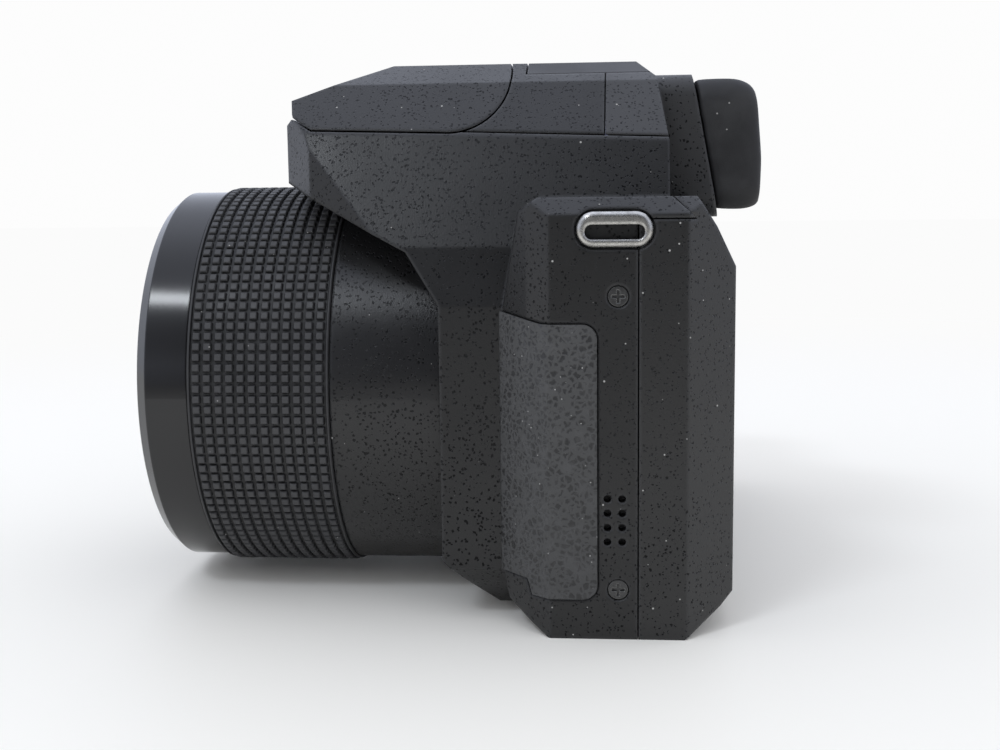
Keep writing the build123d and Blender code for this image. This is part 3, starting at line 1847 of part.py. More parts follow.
with BuildPart() as battery_chamber:
    add(
        grown_box(
            (battery_x[0], card_x[1]),
            battery_y,
            (chamber_low + chamber_wall + card_gap, chamber_low + battery_tall),
            chamber_wall + card_gap,
        )
    )
    add(
        grown_box(battery_x, battery_y, (0, chamber_low + battery_tall), card_gap),
        mode=Mode.SUBTRACT,
    )
    add(grown_box(card_x, card_y, (0, chamber_low + card_tall), card_gap), mode=Mode.SUBTRACT)
    add(grip_form(wall), mode=Mode.INTERSECT)
keep(battery_chamber, "battery_chamber")

with BuildPart() as battery:
    add(grown_box(battery_x, battery_y, (chamber_low, chamber_low + battery_tall), 0))
    fillet(battery.edges().filter_by(Axis.Z), chamber_wall)
keep(battery, "battery")

with BuildPart() as memory_card:
    add(grown_box(card_x, card_y, (chamber_low, chamber_low + card_tall), 0))
    corner = memory_card.edges().filter_by(Axis.X).group_by(Axis.Z)[-1].sort_by(Axis.Y)[0:1]
    chamfer(corner, card_corner)
keep(memory_card, "memory_card")

# Focus lamp in the front of the lens box
with BuildPart() as focus_lamp:
    with BuildSketch(front_plane(-box_reach + wall)):
        with Locations((-lamp_place, lamp_height)):
            Circle(lamp_radius)
    extrude(amount=wall)
keep(focus_lamp, "focus_lamp")
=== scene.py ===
import math

import bmesh
import bpy
from mathutils import Matrix, Vector


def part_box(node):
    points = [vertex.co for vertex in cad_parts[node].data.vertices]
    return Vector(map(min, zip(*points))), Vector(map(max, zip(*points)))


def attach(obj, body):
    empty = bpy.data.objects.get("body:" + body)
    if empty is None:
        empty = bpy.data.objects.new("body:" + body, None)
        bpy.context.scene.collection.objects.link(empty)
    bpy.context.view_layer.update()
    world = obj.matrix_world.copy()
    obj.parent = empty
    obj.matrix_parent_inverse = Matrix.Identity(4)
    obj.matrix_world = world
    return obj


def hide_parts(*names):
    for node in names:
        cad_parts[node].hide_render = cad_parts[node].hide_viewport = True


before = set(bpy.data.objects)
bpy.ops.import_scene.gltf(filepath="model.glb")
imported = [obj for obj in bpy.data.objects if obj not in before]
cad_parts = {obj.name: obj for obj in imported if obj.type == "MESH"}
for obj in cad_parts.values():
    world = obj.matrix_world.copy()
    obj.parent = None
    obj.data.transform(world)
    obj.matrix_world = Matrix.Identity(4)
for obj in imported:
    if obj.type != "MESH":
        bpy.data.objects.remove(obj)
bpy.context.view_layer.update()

# Front shell, back shell, hump and grip covers: injection-moulded black plastic.
# The mould is spark eroded, so every outer face has a fine blistered spatter, and the
# parting edges have a small radius. The shells are screwed together along their seams.


def fill(tree, socket, value):
    if isinstance(value, bpy.types.NodeSocket):
        tree.links.new(value, socket)
    else:
        socket.default_value = value


def node(tree, kind, settings=None, **inputs):
    # An input goes by its name, or by its number as n0, n1 and so on.
    made = tree.nodes.new(kind)
    for key, value in (settings or {}).items():
        setattr(made, key, value)
    for key, value in inputs.items():
        by_number = key[0] == "n" and key[1:].isdigit()
        fill(tree, made.inputs[int(key[1:]) if by_number else key.replace("_", " ")], value)
    return made


def maths(tree, operation, first, second=0.0, third=0.0):
    made = node(tree, "ShaderNodeMath", {"operation": operation}, n0=first, n1=second, n2=third)
    return made.outputs[0]


def stepped(tree, value, low, high, start=0.0, end=1.0):
    return node(
        tree, "ShaderNodeMapRange", {"interpolation_type": "SMOOTHSTEP"},
        Value=value, From_Min=low, From_Max=high, To_Min=start, To_Max=end,
    ).outputs["Result"]


def noise(tree, point, scale, detail, **more):
    made = node(tree, "ShaderNodeTexNoise", Vector=point, Scale=scale, Detail=detail, **more)
    return made.outputs["Fac"]


def moved_point(tree, point, scale, reach):
    # The point, moved aside by a slow noise so that cells lose their straight edges.
    stray = node(tree, "ShaderNodeTexNoise", Vector=point, Scale=scale, Detail=2.0)
    warp = node(
        tree, "ShaderNodeVectorMath", {"operation": "SCALE"}, n0=stray.outputs["Color"], Scale=reach
    )
    moved = node(tree, "ShaderNodeVectorMath", {"operation": "ADD"}, n0=point, n1=warp.outputs[0])
    return moved.outputs[0]


def new_group(name, inputs, outputs):
    tree = bpy.data.node_groups.new(name, "ShaderNodeTree")
    for label, kind, value in inputs:
        socket = tree.interface.new_socket(label, in_out="INPUT", socket_type=kind)
        if value is not None:
            socket.default_value = value
    for label, kind in outputs:
        tree.interface.new_socket(label, in_out="OUTPUT", socket_type=kind)
    return tree, tree.nodes.new("NodeGroupInput"), tree.nodes.new("NodeGroupOutput")


# Sparked texture: short pits of uneven size in a fine sand. The pit mask also places painted shade in
# the pits.
spatter, given, result = new_group(
    "sparked texture",
    [("Point", "NodeSocketVector", None), ("Pit Size", "NodeSocketFloat", 0.0006)],
    [("Height", "NodeSocketFloat"), ("Pit", "NodeSocketFloat")],
)
density = maths(spatter, "DIVIDE", 1.0, given.outputs["Pit Size"])
moved = moved_point(spatter, given.outputs["Point"], 1500.0, 0.0007)
drops = node(spatter, "ShaderNodeTexVoronoi", Vector=moved, Scale=density, Randomness=1.0)
lot = node(spatter, "ShaderNodeSeparateColor", Color=drops.outputs["Color"])
width = maths(spatter, "MULTIPLY_ADD", lot.outputs["Red"], 0.22, 0.15)
beyond = maths(spatter, "SUBTRACT", drops.outputs["Distance"], width)
pit = stepped(spatter, beyond, -0.06, 0.07, 1.0, 0.0)
present = maths(spatter, "GREATER_THAN", lot.outputs["Green"], 0.20)
pit = maths(spatter, "MULTIPLY", pit, present)
sand = noise(spatter, given.outputs["Point"], 4200.0, 3.0)
spatter.links.new(
    maths(spatter, "MULTIPLY_ADD", sand, 0.30, maths(spatter, "SUBTRACT", 1.0, pit)),
    result.inputs["Height"],
)
spatter.links.new(pit, result.inputs["Pit"])

# Rounded edge: the normal that a small radius gives along each edge, and where it turns.
rounding, given, result = new_group(
    "rounded edge",
    [("Radius", "NodeSocketFloat", 0.0004)],
    [("Normal", "NodeSocketVector"), ("Edge", "NodeSocketFloat")],
)
turned = node(rounding, "ShaderNodeBevel", {"samples": 6}, Radius=given.outputs["Radius"])
flat = node(rounding, "ShaderNodeNewGeometry")
along = node(
    rounding, "ShaderNodeVectorMath", {"operation": "DOT_PRODUCT"},
    n0=turned.outputs["Normal"], n1=flat.outputs["Normal"],
)
rounding.links.new(turned.outputs["Normal"], result.inputs["Normal"])
rounding.links.new(stepped(rounding, along.outputs["Value"], 0.995, 0.90), result.inputs["Edge"])

# Lint and dust: sparse pale specks of uneven size.
dust, given, result = new_group(
    "lint and dust",
    [
        ("Point", "NodeSocketVector", None),
        ("Spacing", "NodeSocketFloat", 0.0016),
        ("Share", "NodeSocketFloat", 0.3),
    ],
    [("Speck", "NodeSocketFloat")],
)
per_metre = maths(dust, "DIVIDE", 1.0, given.outputs["Spacing"])
cells = node(
    dust, "ShaderNodeTexVoronoi", Vector=given.outputs["Point"], Scale=per_metre, Randomness=1.0
)
lot = node(dust, "ShaderNodeSeparateColor", Color=cells.outputs["Color"])
reach = maths(dust, "MULTIPLY_ADD", lot.outputs["Green"], 0.055, 0.02)
edge_of_speck = maths(dust, "SUBTRACT", cells.outputs["Distance"], reach)
round_speck = stepped(dust, edge_of_speck, 0.0, 0.025, 1.0, 0.0)
chosen = maths(dust, "LESS_THAN", lot.outputs["Red"], given.outputs["Share"])
dust.links.new(maths(dust, "MULTIPLY", round_speck, chosen), result.inputs["Speck"])


def place_group(tree, group, **inputs):
    return node(tree, "ShaderNodeGroup", {"node_tree": group}, **inputs)


def new_material(name, roughness, **settings):
    made = bpy.data.materials.new(name)
    made.use_nodes = True
    shader = made.node_tree.nodes["Principled BSDF"]
    shader.inputs["Roughness"].default_value = roughness
    for key, value in settings.items():
        shader.inputs[key.replace("_", " ")].default_value = value
    point = made.node_tree.nodes.new("ShaderNodeTexCoord").outputs["Object"]
    return made, made.node_tree, shader, point


def blend_colour(tree, share, first, second):
    made = node(tree, "ShaderNodeMix", {"data_type": "RGBA"}, n0=share)
    for number, colour in ((6, first), (7, second)):
        plain = isinstance(colour, (tuple, list))
        fill(tree, made.inputs[number], (*colour, 1.0) if plain else colour)
    return made.outputs[2]


def laid_over(tree, mask, share, below, above):
    return blend_colour(tree, maths(tree, "MULTIPLY", mask, share), below, above)


def feed(tree, shader, **sources):
    for key, value in sources.items():
        tree.links.new(value, shader.inputs[key.replace("_", " ")])


def emboss(tree, shader, height, depth, strength=1.0, over=None):
    # Fine relief of the given depth, on the plain normal or over another one.
    bump = node(tree, "ShaderNodeBump", Strength=strength, Distance=depth, Height=height)
    if over is not None:
        fill(tree, bump.inputs["Normal"], over)
    feed(tree, shader, Normal=bump.outputs["Normal"])


pit_shade_black = (0.0020, 0.0020, 0.0022)
edge_highlight_grey = (0.060, 0.062, 0.068)
dust_grey = (0.42, 0.42, 0.42)
pit_spacing = 0.00056


def spatter_plastic(name, pit_size, depth, face, rough, dusting, pit=pit_shade_black):
    made, tree, shader, point = new_material(name, rough)
    skin = place_group(tree, spatter, Point=point, Pit_Size=pit_size)
    edge = place_group(tree, rounding, Radius=0.0008)
    lint = place_group(tree, dust, Point=point, Spacing=0.0019, Share=dusting)
    # The pits are painted darker than the face: painted shade in the recesses of the spatter.
    base = blend_colour(tree, skin.outputs["Pit"], face, pit)
    # Every edge is painted a lighter grey: a painted edge highlight.
    edge_lit = laid_over(tree, edge.outputs["Edge"], 0.28, base, edge_highlight_grey)
    feed(tree, shader, Base_Color=laid_over(tree, lint.outputs["Speck"], 0.8, edge_lit, dust_grey))
    handled = noise(tree, point, 60.0, 4.0)
    feed(tree, shader, Roughness=stepped(tree, handled, 0.3, 0.7, rough - 0.05, rough + 0.05))
    # Painted shade in the pits: their reflection drops to the dark pit colour, in some stretches more
    # than in others.
    uneven = noise(tree, point, 38.0, 3.0)
    swallowed = stepped(tree, uneven, 0.36, 0.66, 0.25, 0.62)
    feed(tree, shader, Metallic=maths(tree, "MULTIPLY", skin.outputs["Pit"], swallowed))
    emboss(tree, shader, skin.outputs["Height"], depth, over=edge.outputs["Normal"])
    return made


shell_plastic = spatter_plastic(
    "shell plastic", pit_spacing, 0.00007, (0.0120, 0.0120, 0.0125), 0.33, 0.22
)


def dress(names, material):
    for name in names:
        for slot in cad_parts[name].material_slots:
            slot.material = material


dress(["rear_cover", "top_cover", "flash_head", "battery_door", "base_plate"], shell_plastic)
# The front shell and the hump take a shaded copy of the shell plastic, a little darker and mirroring a
# little less: painted shade.
shaded_front_plastic = spatter_plastic(
    "shaded front plastic", pit_spacing, 0.00007, (0.0110, 0.0110, 0.0115), 0.34, 0.22
)
shaded_front_plastic.node_tree.nodes["Principled BSDF"].inputs["Specular IOR Level"].default_value = 0.43
dress(["front_cover", "hump_cover"], shaded_front_plastic)
# The eyepiece block is greyer than the shells, with more fine dust on it and a paler painted shade in
# its pits.
eyepiece_plastic = spatter_plastic(
    "eyepiece plastic", pit_spacing, 0.00005, (0.0260, 0.0265, 0.0290), 0.42, 0.42,
    pit=(0.0040, 0.0040, 0.0044),
)
dress(["viewfinder_cover"], eyepiece_plastic)

# Roof panel, buttons, lever and latch: separate satin mouldings. The panel clips into the
# hump cover, and the buttons sit on rubber springs in their own wells.
satin_plastic, tree, shader, point = new_material("satin plastic", 0.42)
edge = place_group(tree, rounding, Radius=0.0004)
grain = noise(tree, point, 4200.0, 3.0)
smudge = noise(tree, point, 55.0, 4.0)
base = blend_colour(tree, smudge, (0.010, 0.010, 0.011), (0.018, 0.018, 0.020))
# Every edge is painted a lighter grey: a painted edge highlight.
feed(tree, shader, Base_Color=laid_over(tree, edge.outputs["Edge"], 0.4, base, (0.08, 0.08, 0.085)))
feed(tree, shader, Roughness=stepped(tree, smudge, 0.3, 0.7, 0.36, 0.50))
emboss(tree, shader, grain, 0.000012, over=edge.outputs["Normal"])
dress(
    [
        "hump_panel", "power_button", "drive_button", "exposure_button", "playback_button",
        "delete_button", "menu_button", "info_button", "four_way_pad", "ok_button", "zoom_lever",
        "diopter_dial", "door_latch",
    ],
    satin_plastic,
)

# Front ring of the lens: a turned aluminium ring in gloss black, painted a paler grey on the chamfer
# round its mouth. It is pressed onto the lens barrel in front of the rubber sleeve.
tool_marks = 9000.0
chamfer_start = -0.0759
chamfer_full = -0.0762
ring_lacquer, tree, shader, point = new_material("ring lacquer", 0.16)
edge = place_group(tree, rounding, Radius=0.00035)
apart = node(tree, "ShaderNodeSeparateXYZ", Vector=point)
turning = node(
    tree, "ShaderNodeTexNoise", {"noise_dimensions": "1D"},
    W=maths(tree, "MULTIPLY", apart.outputs["Y"], tool_marks), Scale=1.0, Detail=2.0,
)
lint = place_group(tree, dust, Point=point, Spacing=0.006, Share=0.18)
chamfer_mask = stepped(tree, apart.outputs["Y"], chamfer_start, chamfer_full)
coat = blend_colour(tree, chamfer_mask, (0.0100, 0.0100, 0.0110), (0.05, 0.051, 0.054))
feed(tree, shader, Base_Color=laid_over(tree, lint.outputs["Speck"], 0.5, coat, (0.4, 0.4, 0.4)))
feed(tree, shader, Roughness=maths(tree, "MULTIPLY_ADD", turning.outputs["Fac"], 0.10, 0.12))
emboss(tree, shader, turning.outputs["Fac"], 0.000006, strength=0.35, over=edge.outputs["Normal"])
dress(["front_collar"], ring_lacquer)

# Lens barrel behind the sleeve: one round moulding with the same sparked texture as the
# shells and a little more gloss. Its foot is fixed inside the front shell.
barrel_plastic = spatter_plastic(
    "barrel plastic", 0.00060, 0.00006, (0.0100, 0.0100, 0.0108), 0.30, 0.22
)
dress(["lens_housing"], barrel_plastic)

# Grip sleeve: a moulded rubber band stretched over the barrel. Square studs with
# flattened tops stand in twelve rows round it, between two narrow plain rims.
sleeve_front = 0.0689
sleeve_back = 0.0458
sleeve_bore = 0.03225
sleeve_root = 0.0332
sleeve_rim = 0.0006
stud_rows = 12
studs_round = 124
stud_tall = 0.0006
lens_height = 0.035


def join_rings(shape, rings):
    for near, far in zip(rings, rings[1:]):
        for i in range(len(near)):
            j = (i + 1) % len(near)
            shape.faces.new((near[i], near[j], far[j], far[i]))


def mesh_from(name, shape):
    mesh = bpy.data.meshes.new(name)
    shape.to_mesh(mesh)
    shape.free()
    return mesh


def turned_mesh(name, outline, segments, height):
    # outline: points of (distance along the lens, radius), closed; turned about the lens axis.
    made = bmesh.new()
    rings = []
    for k in range(segments):
        turn = 2 * math.pi * k / segments
        rings.append([
            made.verts.new((r * math.sin(turn), -y, height + r * math.cos(turn))) for y, r in outline
        ])
    join_rings(made, rings + [rings[0]])
    bmesh.ops.recalc_face_normals(made, faces=made.faces)
    return mesh_from(name, made)


def new_piece(name, mesh, material):
    piece = bpy.data.objects.new(name, mesh)
    bpy.context.scene.collection.objects.link(piece)
    mesh.materials.clear()
    mesh.materials.append(material)
    return piece


def smooth_by_angle(mesh, degrees):
    mesh.shade_smooth()
    mesh.set_sharp_from_angle(angle=math.radians(degrees))


sleeve_rubber, tree, shader, point = new_material("sleeve rubber", 0.52)
edge = place_group(tree, rounding, Radius=0.00012)
lint = place_group(tree, dust, Point=point, Spacing=0.0013, Share=0.22)
chalk = noise(tree, point, 260.0, 5.0)
grain = noise(tree, point, 7000.0, 2.0)
apart = node(tree, "ShaderNodeSeparateXYZ", Vector=point)
across = maths(tree, "POWER", apart.outputs["X"], 2.0)
upward = maths(tree, "SUBTRACT", apart.outputs["Z"], lens_height)
from_axis = maths(tree, "SQRT", maths(tree, "ADD", across, maths(tree, "POWER", upward, 2.0)))
# Stud tops are painted lighter than the floor between them: painted shade between the studs.
on_top = stepped(tree, from_axis, sleeve_root + 0.0002, sleeve_root + 0.00055)
base = blend_colour(tree, on_top, (0.010, 0.010, 0.011), (0.036, 0.0365, 0.040))
bloom = blend_colour(tree, stepped(tree, chalk, 0.45, 0.75, 0.0, 0.35), base, (0.045, 0.046, 0.05))
# Every edge is painted lighter: a painted edge highlight.
edge_lit = laid_over(tree, edge.outputs["Edge"], 0.3, bloom, (0.07, 0.07, 0.075))
feed(tree, shader, Base_Color=laid_over(tree, lint.outputs["Speck"], 0.85, edge_lit, (0.5, 0.5, 0.5)))
feed(tree, shader, Roughness=stepped(tree, chalk, 0.3, 0.7, 0.44, 0.62))
emboss(tree, shader, grain, 0.00001, over=edge.outputs["Normal"])

band = turned_mesh(
    "sleeve band",
    [
        (sleeve_back, sleeve_bore),
        (sleeve_back, sleeve_root + 0.0002),
        (sleeve_back + 0.0002, sleeve_root + 0.0004),
        (sleeve_back + sleeve_rim - 0.0002, sleeve_root + 0.0004),
        (sleeve_back + sleeve_rim, sleeve_root),
        (sleeve_front - sleeve_rim, sleeve_root),
        (sleeve_front - sleeve_rim + 0.0002, sleeve_root + 0.0004),
        (sleeve_front - 0.0002, sleeve_root + 0.0004),
        (sleeve_front, sleeve_root + 0.0002),
        (sleeve_front, sleeve_bore),
    ],
    2 * studs_round,
    lens_height,
)

# One stud: a square pyramid without its point, its top edges and corners eased.
shape = bmesh.new()
levels = [(-0.0001, 0.00073), (0.0, 0.00072), (stud_tall - 0.00014, 0.00058), (stud_tall, 0.00046)]
loops = []
for level, half in levels:
    corner = half * 0.80
    loops.append([
        shape.verts.new((x, y, level))
        for x, y in (
            (half, corner), (corner, half), (-corner, half), (-half, corner),
            (-half, -corner), (-corner, -half), (corner, -half), (half, -corner),
        )
    ])
join_rings(shape, loops)
shape.faces.new(loops[-1])
shape.faces.new(list(reversed(loops[0])))
bmesh.ops.recalc_face_normals(shape, faces=shape.faces)
stud_mesh = mesh_from("stud", shape)

stud_tree = bpy.data.node_groups.new("studs round a tube", "GeometryNodeTree")
for label, kind in (
    ("Geometry", "NodeSocketGeometry"), ("Rows", "NodeSocketInt"), ("Round", "NodeSocketInt"),
    ("Start", "NodeSocketFloat"), ("Pitch", "NodeSocketFloat"), ("Radius", "NodeSocketFloat"),
    ("Height", "NodeSocketFloat"), ("Rubber", "NodeSocketMaterial"),
):
    stud_tree.interface.new_socket(label, in_out="INPUT", socket_type=kind)
stud_tree.interface.new_socket("Geometry", in_out="OUTPUT", socket_type="NodeSocketGeometry")
given = stud_tree.nodes.new("NodeGroupInput")
result = stud_tree.nodes.new("NodeGroupOutput")
index = stud_tree.nodes.new("GeometryNodeInputIndex").outputs[0]
rounds = maths(stud_tree, "DIVIDE", index, given.outputs["Round"])
row = maths(stud_tree, "FLOOR", rounds)
turn = maths(stud_tree, "MULTIPLY", rounds, 2 * math.pi)
radius = given.outputs["Radius"]
sideways = maths(stud_tree, "MULTIPLY", maths(stud_tree, "SINE", turn), radius)
upwards = maths(
    stud_tree, "MULTIPLY_ADD", maths(stud_tree, "COSINE", turn), radius, given.outputs["Height"]
)
row_middle = maths(stud_tree, "ADD", row, 0.5)
from_face = maths(
    stud_tree, "MULTIPLY_ADD", row_middle, given.outputs["Pitch"], given.outputs["Start"]
)
forwards = maths(stud_tree, "MULTIPLY", from_face, -1.0)
spot = node(stud_tree, "ShaderNodeCombineXYZ", X=sideways, Y=forwards, Z=upwards)
count = maths(stud_tree, "MULTIPLY", given.outputs["Rows"], given.outputs["Round"])
spots = node(stud_tree, "GeometryNodePoints", Count=count, Position=spot.outputs[0])
lean = node(stud_tree, "ShaderNodeCombineXYZ", Y=turn)
studs = node(
    stud_tree, "GeometryNodeInstanceOnPoints",
    Points=spots.outputs[0], Instance=given.outputs["Geometry"], Rotation=lean.outputs[0],
)
real = node(stud_tree, "GeometryNodeRealizeInstances", Geometry=studs.outputs[0])
coated = node(
    stud_tree, "GeometryNodeSetMaterial", Geometry=real.outputs[0], Material=given.outputs["Rubber"]
)
stud_tree.links.new(coated.outputs[0], result.inputs[0])


def by_tree(source, tree, **values):
    # The evaluated result of a geometry tree on a piece, as a plain mesh.
    modifier = source.modifiers.new("made", "NODES")
    modifier.node_group = tree
    for item in tree.interface.items_tree:
        if item.item_type == "SOCKET" and item.in_out == "INPUT" and item.name in values:
            modifier[item.identifier] = values[item.name]
    source.update_tag()
    bpy.context.view_layer.update()
    made = bpy.data.meshes.new_from_object(source.evaluated_get(bpy.context.evaluated_depsgraph_get()))
    source.modifiers.clear()
    return made


one_stud = new_piece("one_stud", stud_mesh, sleeve_rubber)
stud_pitch = (sleeve_front - sleeve_back - 2 * sleeve_rim) / stud_rows
all_studs = by_tree(
    one_stud, stud_tree, Rows=stud_rows, Round=studs_round, Start=sleeve_back + sleeve_rim,
    Pitch=stud_pitch, Radius=sleeve_root, Height=lens_height, Rubber=sleeve_rubber,
)
bpy.data.objects.remove(one_stud)
joined = bmesh.new()
joined.from_mesh(band)
joined.from_mesh(all_studs)
joined.to_mesh(band)
joined.free()
smooth_by_angle(band, 28)
studded_sleeve = new_piece("studded_sleeve", band, sleeve_rubber)
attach(studded_sleeve, "camera_body")
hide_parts("grip_sleeve")

# Rubber skins on the left side, the hand grip and the thumb rest: thin sheets moulded with
# a leather grain and glued into shallow pockets. Their edges are rounded over.
leather, given, result = new_group(
    "leather grain",
    [("Point", "NodeSocketVector", None), ("Cell", "NodeSocketFloat", 0.0012)],
    [("Height", "NodeSocketFloat"), ("Crease", "NodeSocketFloat")],
)
density = maths(leather, "DIVIDE", 1.0, given.outputs["Cell"])
moved = moved_point(leather, given.outputs["Point"], 1300.0, 0.0009)
pebbles = node(
    leather, "ShaderNodeTexVoronoi", {"feature": "DISTANCE_TO_EDGE"}, Vector=moved, Scale=density
)
fine = noise(leather, given.outputs["Point"], 5200.0, 3.0)
pebble = stepped(leather, pebbles.outputs["Distance"], 0.10, 0.26)
leather.links.new(maths(leather, "MULTIPLY_ADD", fine, 0.30, pebble), result.inputs["Height"])
leather.links.new(maths(leather, "SUBTRACT", 1.0, pebble), result.inputs["Crease"])

skin_rubber, tree, shader, point = new_material("grained rubber", 0.58)
grain = place_group(tree, leather, Point=point, Cell=0.0010)
edge = place_group(tree, rounding, Radius=0.0003)
lint = place_group(tree, dust, Point=point, Spacing=0.0013, Share=0.30)
patchy = noise(tree, point, 420.0, 4.0)
base = blend_colour(tree, grain.outputs["Crease"], (0.018, 0.018, 0.019), (0.050, 0.051, 0.053))
bloom = blend_colour(tree, stepped(tree, patchy, 0.4, 0.7, 0.0, 0.5), base, (0.065, 0.066, 0.070))
feed(tree, shader, Base_Color=laid_over(tree, lint.outputs["Speck"], 0.7, bloom, (0.45, 0.45, 0.45)))
feed(tree, shader, Roughness=stepped(tree, grain.outputs["Height"], 0.1, 1.0, 0.72, 0.50))
emboss(tree, shader, grain.outputs["Height"], -0.00006, over=edge.outputs["Normal"])


def eased_copy(name, cad_node, width, steps, material):
    # The CAD node's shape with its sharp edges rounded over.
    shape = bmesh.new()
    shape.from_mesh(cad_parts[cad_node].data)
    bmesh.ops.remove_doubles(shape, verts=shape.verts, dist=2e-6)
    bmesh.ops.dissolve_limit(shape, angle_limit=math.radians(0.4), verts=shape.verts, edges=shape.edges)
    piece = new_piece(name, mesh_from(name, shape), material)
    ease = piece.modifiers.new("eased", "BEVEL")
    ease.width = width
    ease.segments = steps
    ease.limit_method = "ANGLE"
    ease.angle_limit = math.radians(35)
    ease.harden_normals = False
    bpy.context.view_layer.update()
    made = bpy.data.meshes.new_from_object(piece.evaluated_get(bpy.context.evaluated_depsgraph_get()))
    piece.modifiers.clear()
    piece.data = made
    smooth_by_angle(made, 35)
    return piece


skin_radius = 0.00025
for name, cad_node, body in (
    ("left_skin", "pod_rubber", "camera_body"),
    ("hand_skins", "hand_rubbers", "camera_body"),
    ("terminal_flap", "terminal_cover", "terminal_cover"),
):
    skin = eased_copy(name, cad_node, skin_radius, 2, skin_rubber)
    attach(skin, body)
    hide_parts(cad_node)

# Eyecup: one soft rubber moulding pressed onto the eyepiece block. Its lip leans back
# from top to bottom, swells a little between its corners and is rounded to the touch.
cup_half = 0.0170
cup_low = 0.0643
cup_high = 0.0855
cup_corner = 0.0040
bore_half = 0.0110
bore_tall = 0.0060
bore_middle = 0.0745
bore_corner = 0.0022
corner_steps = 8
side_steps = 6
seat_top = (0.0863, 0.0120)
seat_foot = (0.0630, 0.0164)
lip_bend = 0.0725
lip_out = 0.0235
upper_slope_tall, upper_slope_lean = 0.0138, 0.0011
lower_slope_tall, lower_slope_lean = 0.0095, 0.0003


def rounded_loop(half, low, high, corner):
    # Points of a rounded rectangle in the plane across the lens axis, from its right side up:
    # each corner's arc, and the straight side that follows it as far as its end.
    points = []
    for cx, cz, start, end in (
        (half - corner, high - corner, 0, (-half + corner, high)),
        (-half + corner, high - corner, 90, (-half, low + corner)),
        (-half + corner, low + corner, 180, (half - corner, low)),
        (half - corner, low + corner, 270, (half, high - corner)),
    ):
        for k in range(corner_steps + 1):
            turn = math.radians(start + 90 * k / corner_steps)
            points.append((cx + corner * math.cos(turn), cz + corner * math.sin(turn)))
        x, z = points[-1]
        for k in range(1, side_steps):
            points.append((x + (end[0] - x) * k / side_steps, z + (end[1] - z) * k / side_steps))
    return points


def seat_depth(z):
    # Where the cup meets the block: it slopes from the block's top to its foot.
    share = (seat_top[0] - z) / (seat_top[0] - seat_foot[0])
    return seat_top[1] + share * (seat_foot[1] - seat_top[1])


def lip_depth(z):
    # The lip's back face, in two slopes from its bend.
    if z > lip_bend:
        return lip_out - (z - lip_bend) / upper_slope_tall * upper_slope_lean
    return lip_out - (lip_bend - z) / lower_slope_tall * lower_slope_lean


cup_rubber, tree, shader, point = new_material("eyecup rubber", 0.66)
grain = noise(tree, point, 6000.0, 3.0)
smudge = noise(tree, point, 190.0, 5.0)
lint = place_group(tree, dust, Point=point, Spacing=0.0024, Share=0.22)
base = blend_colour(
    tree, stepped(tree, smudge, 0.38, 0.72), (0.010, 0.010, 0.0115), (0.024, 0.0245, 0.027)
)
feed(tree, shader, Base_Color=laid_over(tree, lint.outputs["Speck"], 0.6, base, (0.4, 0.4, 0.4)))
feed(tree, shader, Roughness=stepped(tree, smudge, 0.3, 0.7, 0.56, 0.74))
emboss(tree, shader, grain, 0.000014)

# Rings from the seat outwards, over the lip and back down the bore:
# share of the way to the lip, growth of the outline, and which outline.
cup_rings = [
    (0.02, -0.0004, "outside"), (0.05, 0.0, "outside"), (0.35, 0.0001, "outside"),
    (0.60, 0.0001, "outside"), (0.74, -0.0001, "outside"), (0.86, -0.0006, "outside"),
    (0.95, -0.0014, "outside"), (1.0, -0.0028, "outside"),
    (1.0, 0.0012, "bore"), (0.955, 0.0004, "bore"), (0.85, 0.0001, "bore"), (0.02, 0.0, "bore"),
]
shape = bmesh.new()
loops = []
for share, grow, outline in cup_rings:
    if outline == "outside":
        # The top draws in twice as far as the sides and the foot.
        foot = grow * 0.5 if grow < 0 else grow
        points = rounded_loop(cup_half + foot, cup_low - foot, cup_high + grow, cup_corner + foot)
    else:
        bore_low = bore_middle - bore_tall - grow
        bore_high = bore_middle + bore_tall + grow
        points = rounded_loop(bore_half + grow, bore_low, bore_high, bore_corner + grow)
    ring = []
    for x, z in points:
        y = seat_depth(z) + (lip_depth(z) - seat_depth(z)) * share
        ring.append(shape.verts.new((x, y, z)))
    loops.append(ring)
join_rings(shape, loops + [loops[0]])
bmesh.ops.recalc_face_normals(shape, faces=shape.faces)
mesh = mesh_from("soft eyecup", shape)
mesh.shade_smooth()
soft_eyecup = new_piece("soft_eyecup", mesh, cup_rubber)
finer = soft_eyecup.modifiers.new("finer", "SUBSURF")
finer.levels = 1
finer.render_levels = 1
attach(soft_eyecup, "camera_body")
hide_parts("eyecup")

# Strap lugs: loops stamped from bright stainless steel strip, tumbled so that their edges
# shine. Each is trapped in the seam between the shells.
lug_steel, tree, shader, point = new_material("bright steel", 0.22, Metallic=1.0)
edge = place_group(tree, rounding, Radius=0.0007)
scuffs = noise(tree, point, 1100.0, 5.0, Roughness=0.7)
nicks = noise(tree, point, 4200.0, 3.0)
dulled = stepped(tree, scuffs, 0.35, 0.7)
feed(tree, shader, Base_Color=blend_colour(tree, dulled, (0.60, 0.59, 0.56), (0.42, 0.41, 0.39)))
feed(tree, shader, Roughness=stepped(tree, scuffs, 0.3, 0.7, 0.16, 0.32))
emboss(tree, shader, nicks, 0.000005, strength=0.5, over=edge.outputs["Normal"])
dress(["strap_lugs"], lug_steel)

# Case screws and hinge pins: small steel screws with a cross recess, sunk in round seats,
# and ground pins. Both are blackened in a hot oxide bath.
black_steel, tree, shader, point = new_material("blackened steel", 0.34, Metallic=0.85)
edge = place_group(tree, rounding, Radius=0.00022)
scuffs = noise(tree, point, 2600.0, 4.0)
base = blend_colour(tree, scuffs, (0.045, 0.045, 0.047), (0.10, 0.10, 0.10))
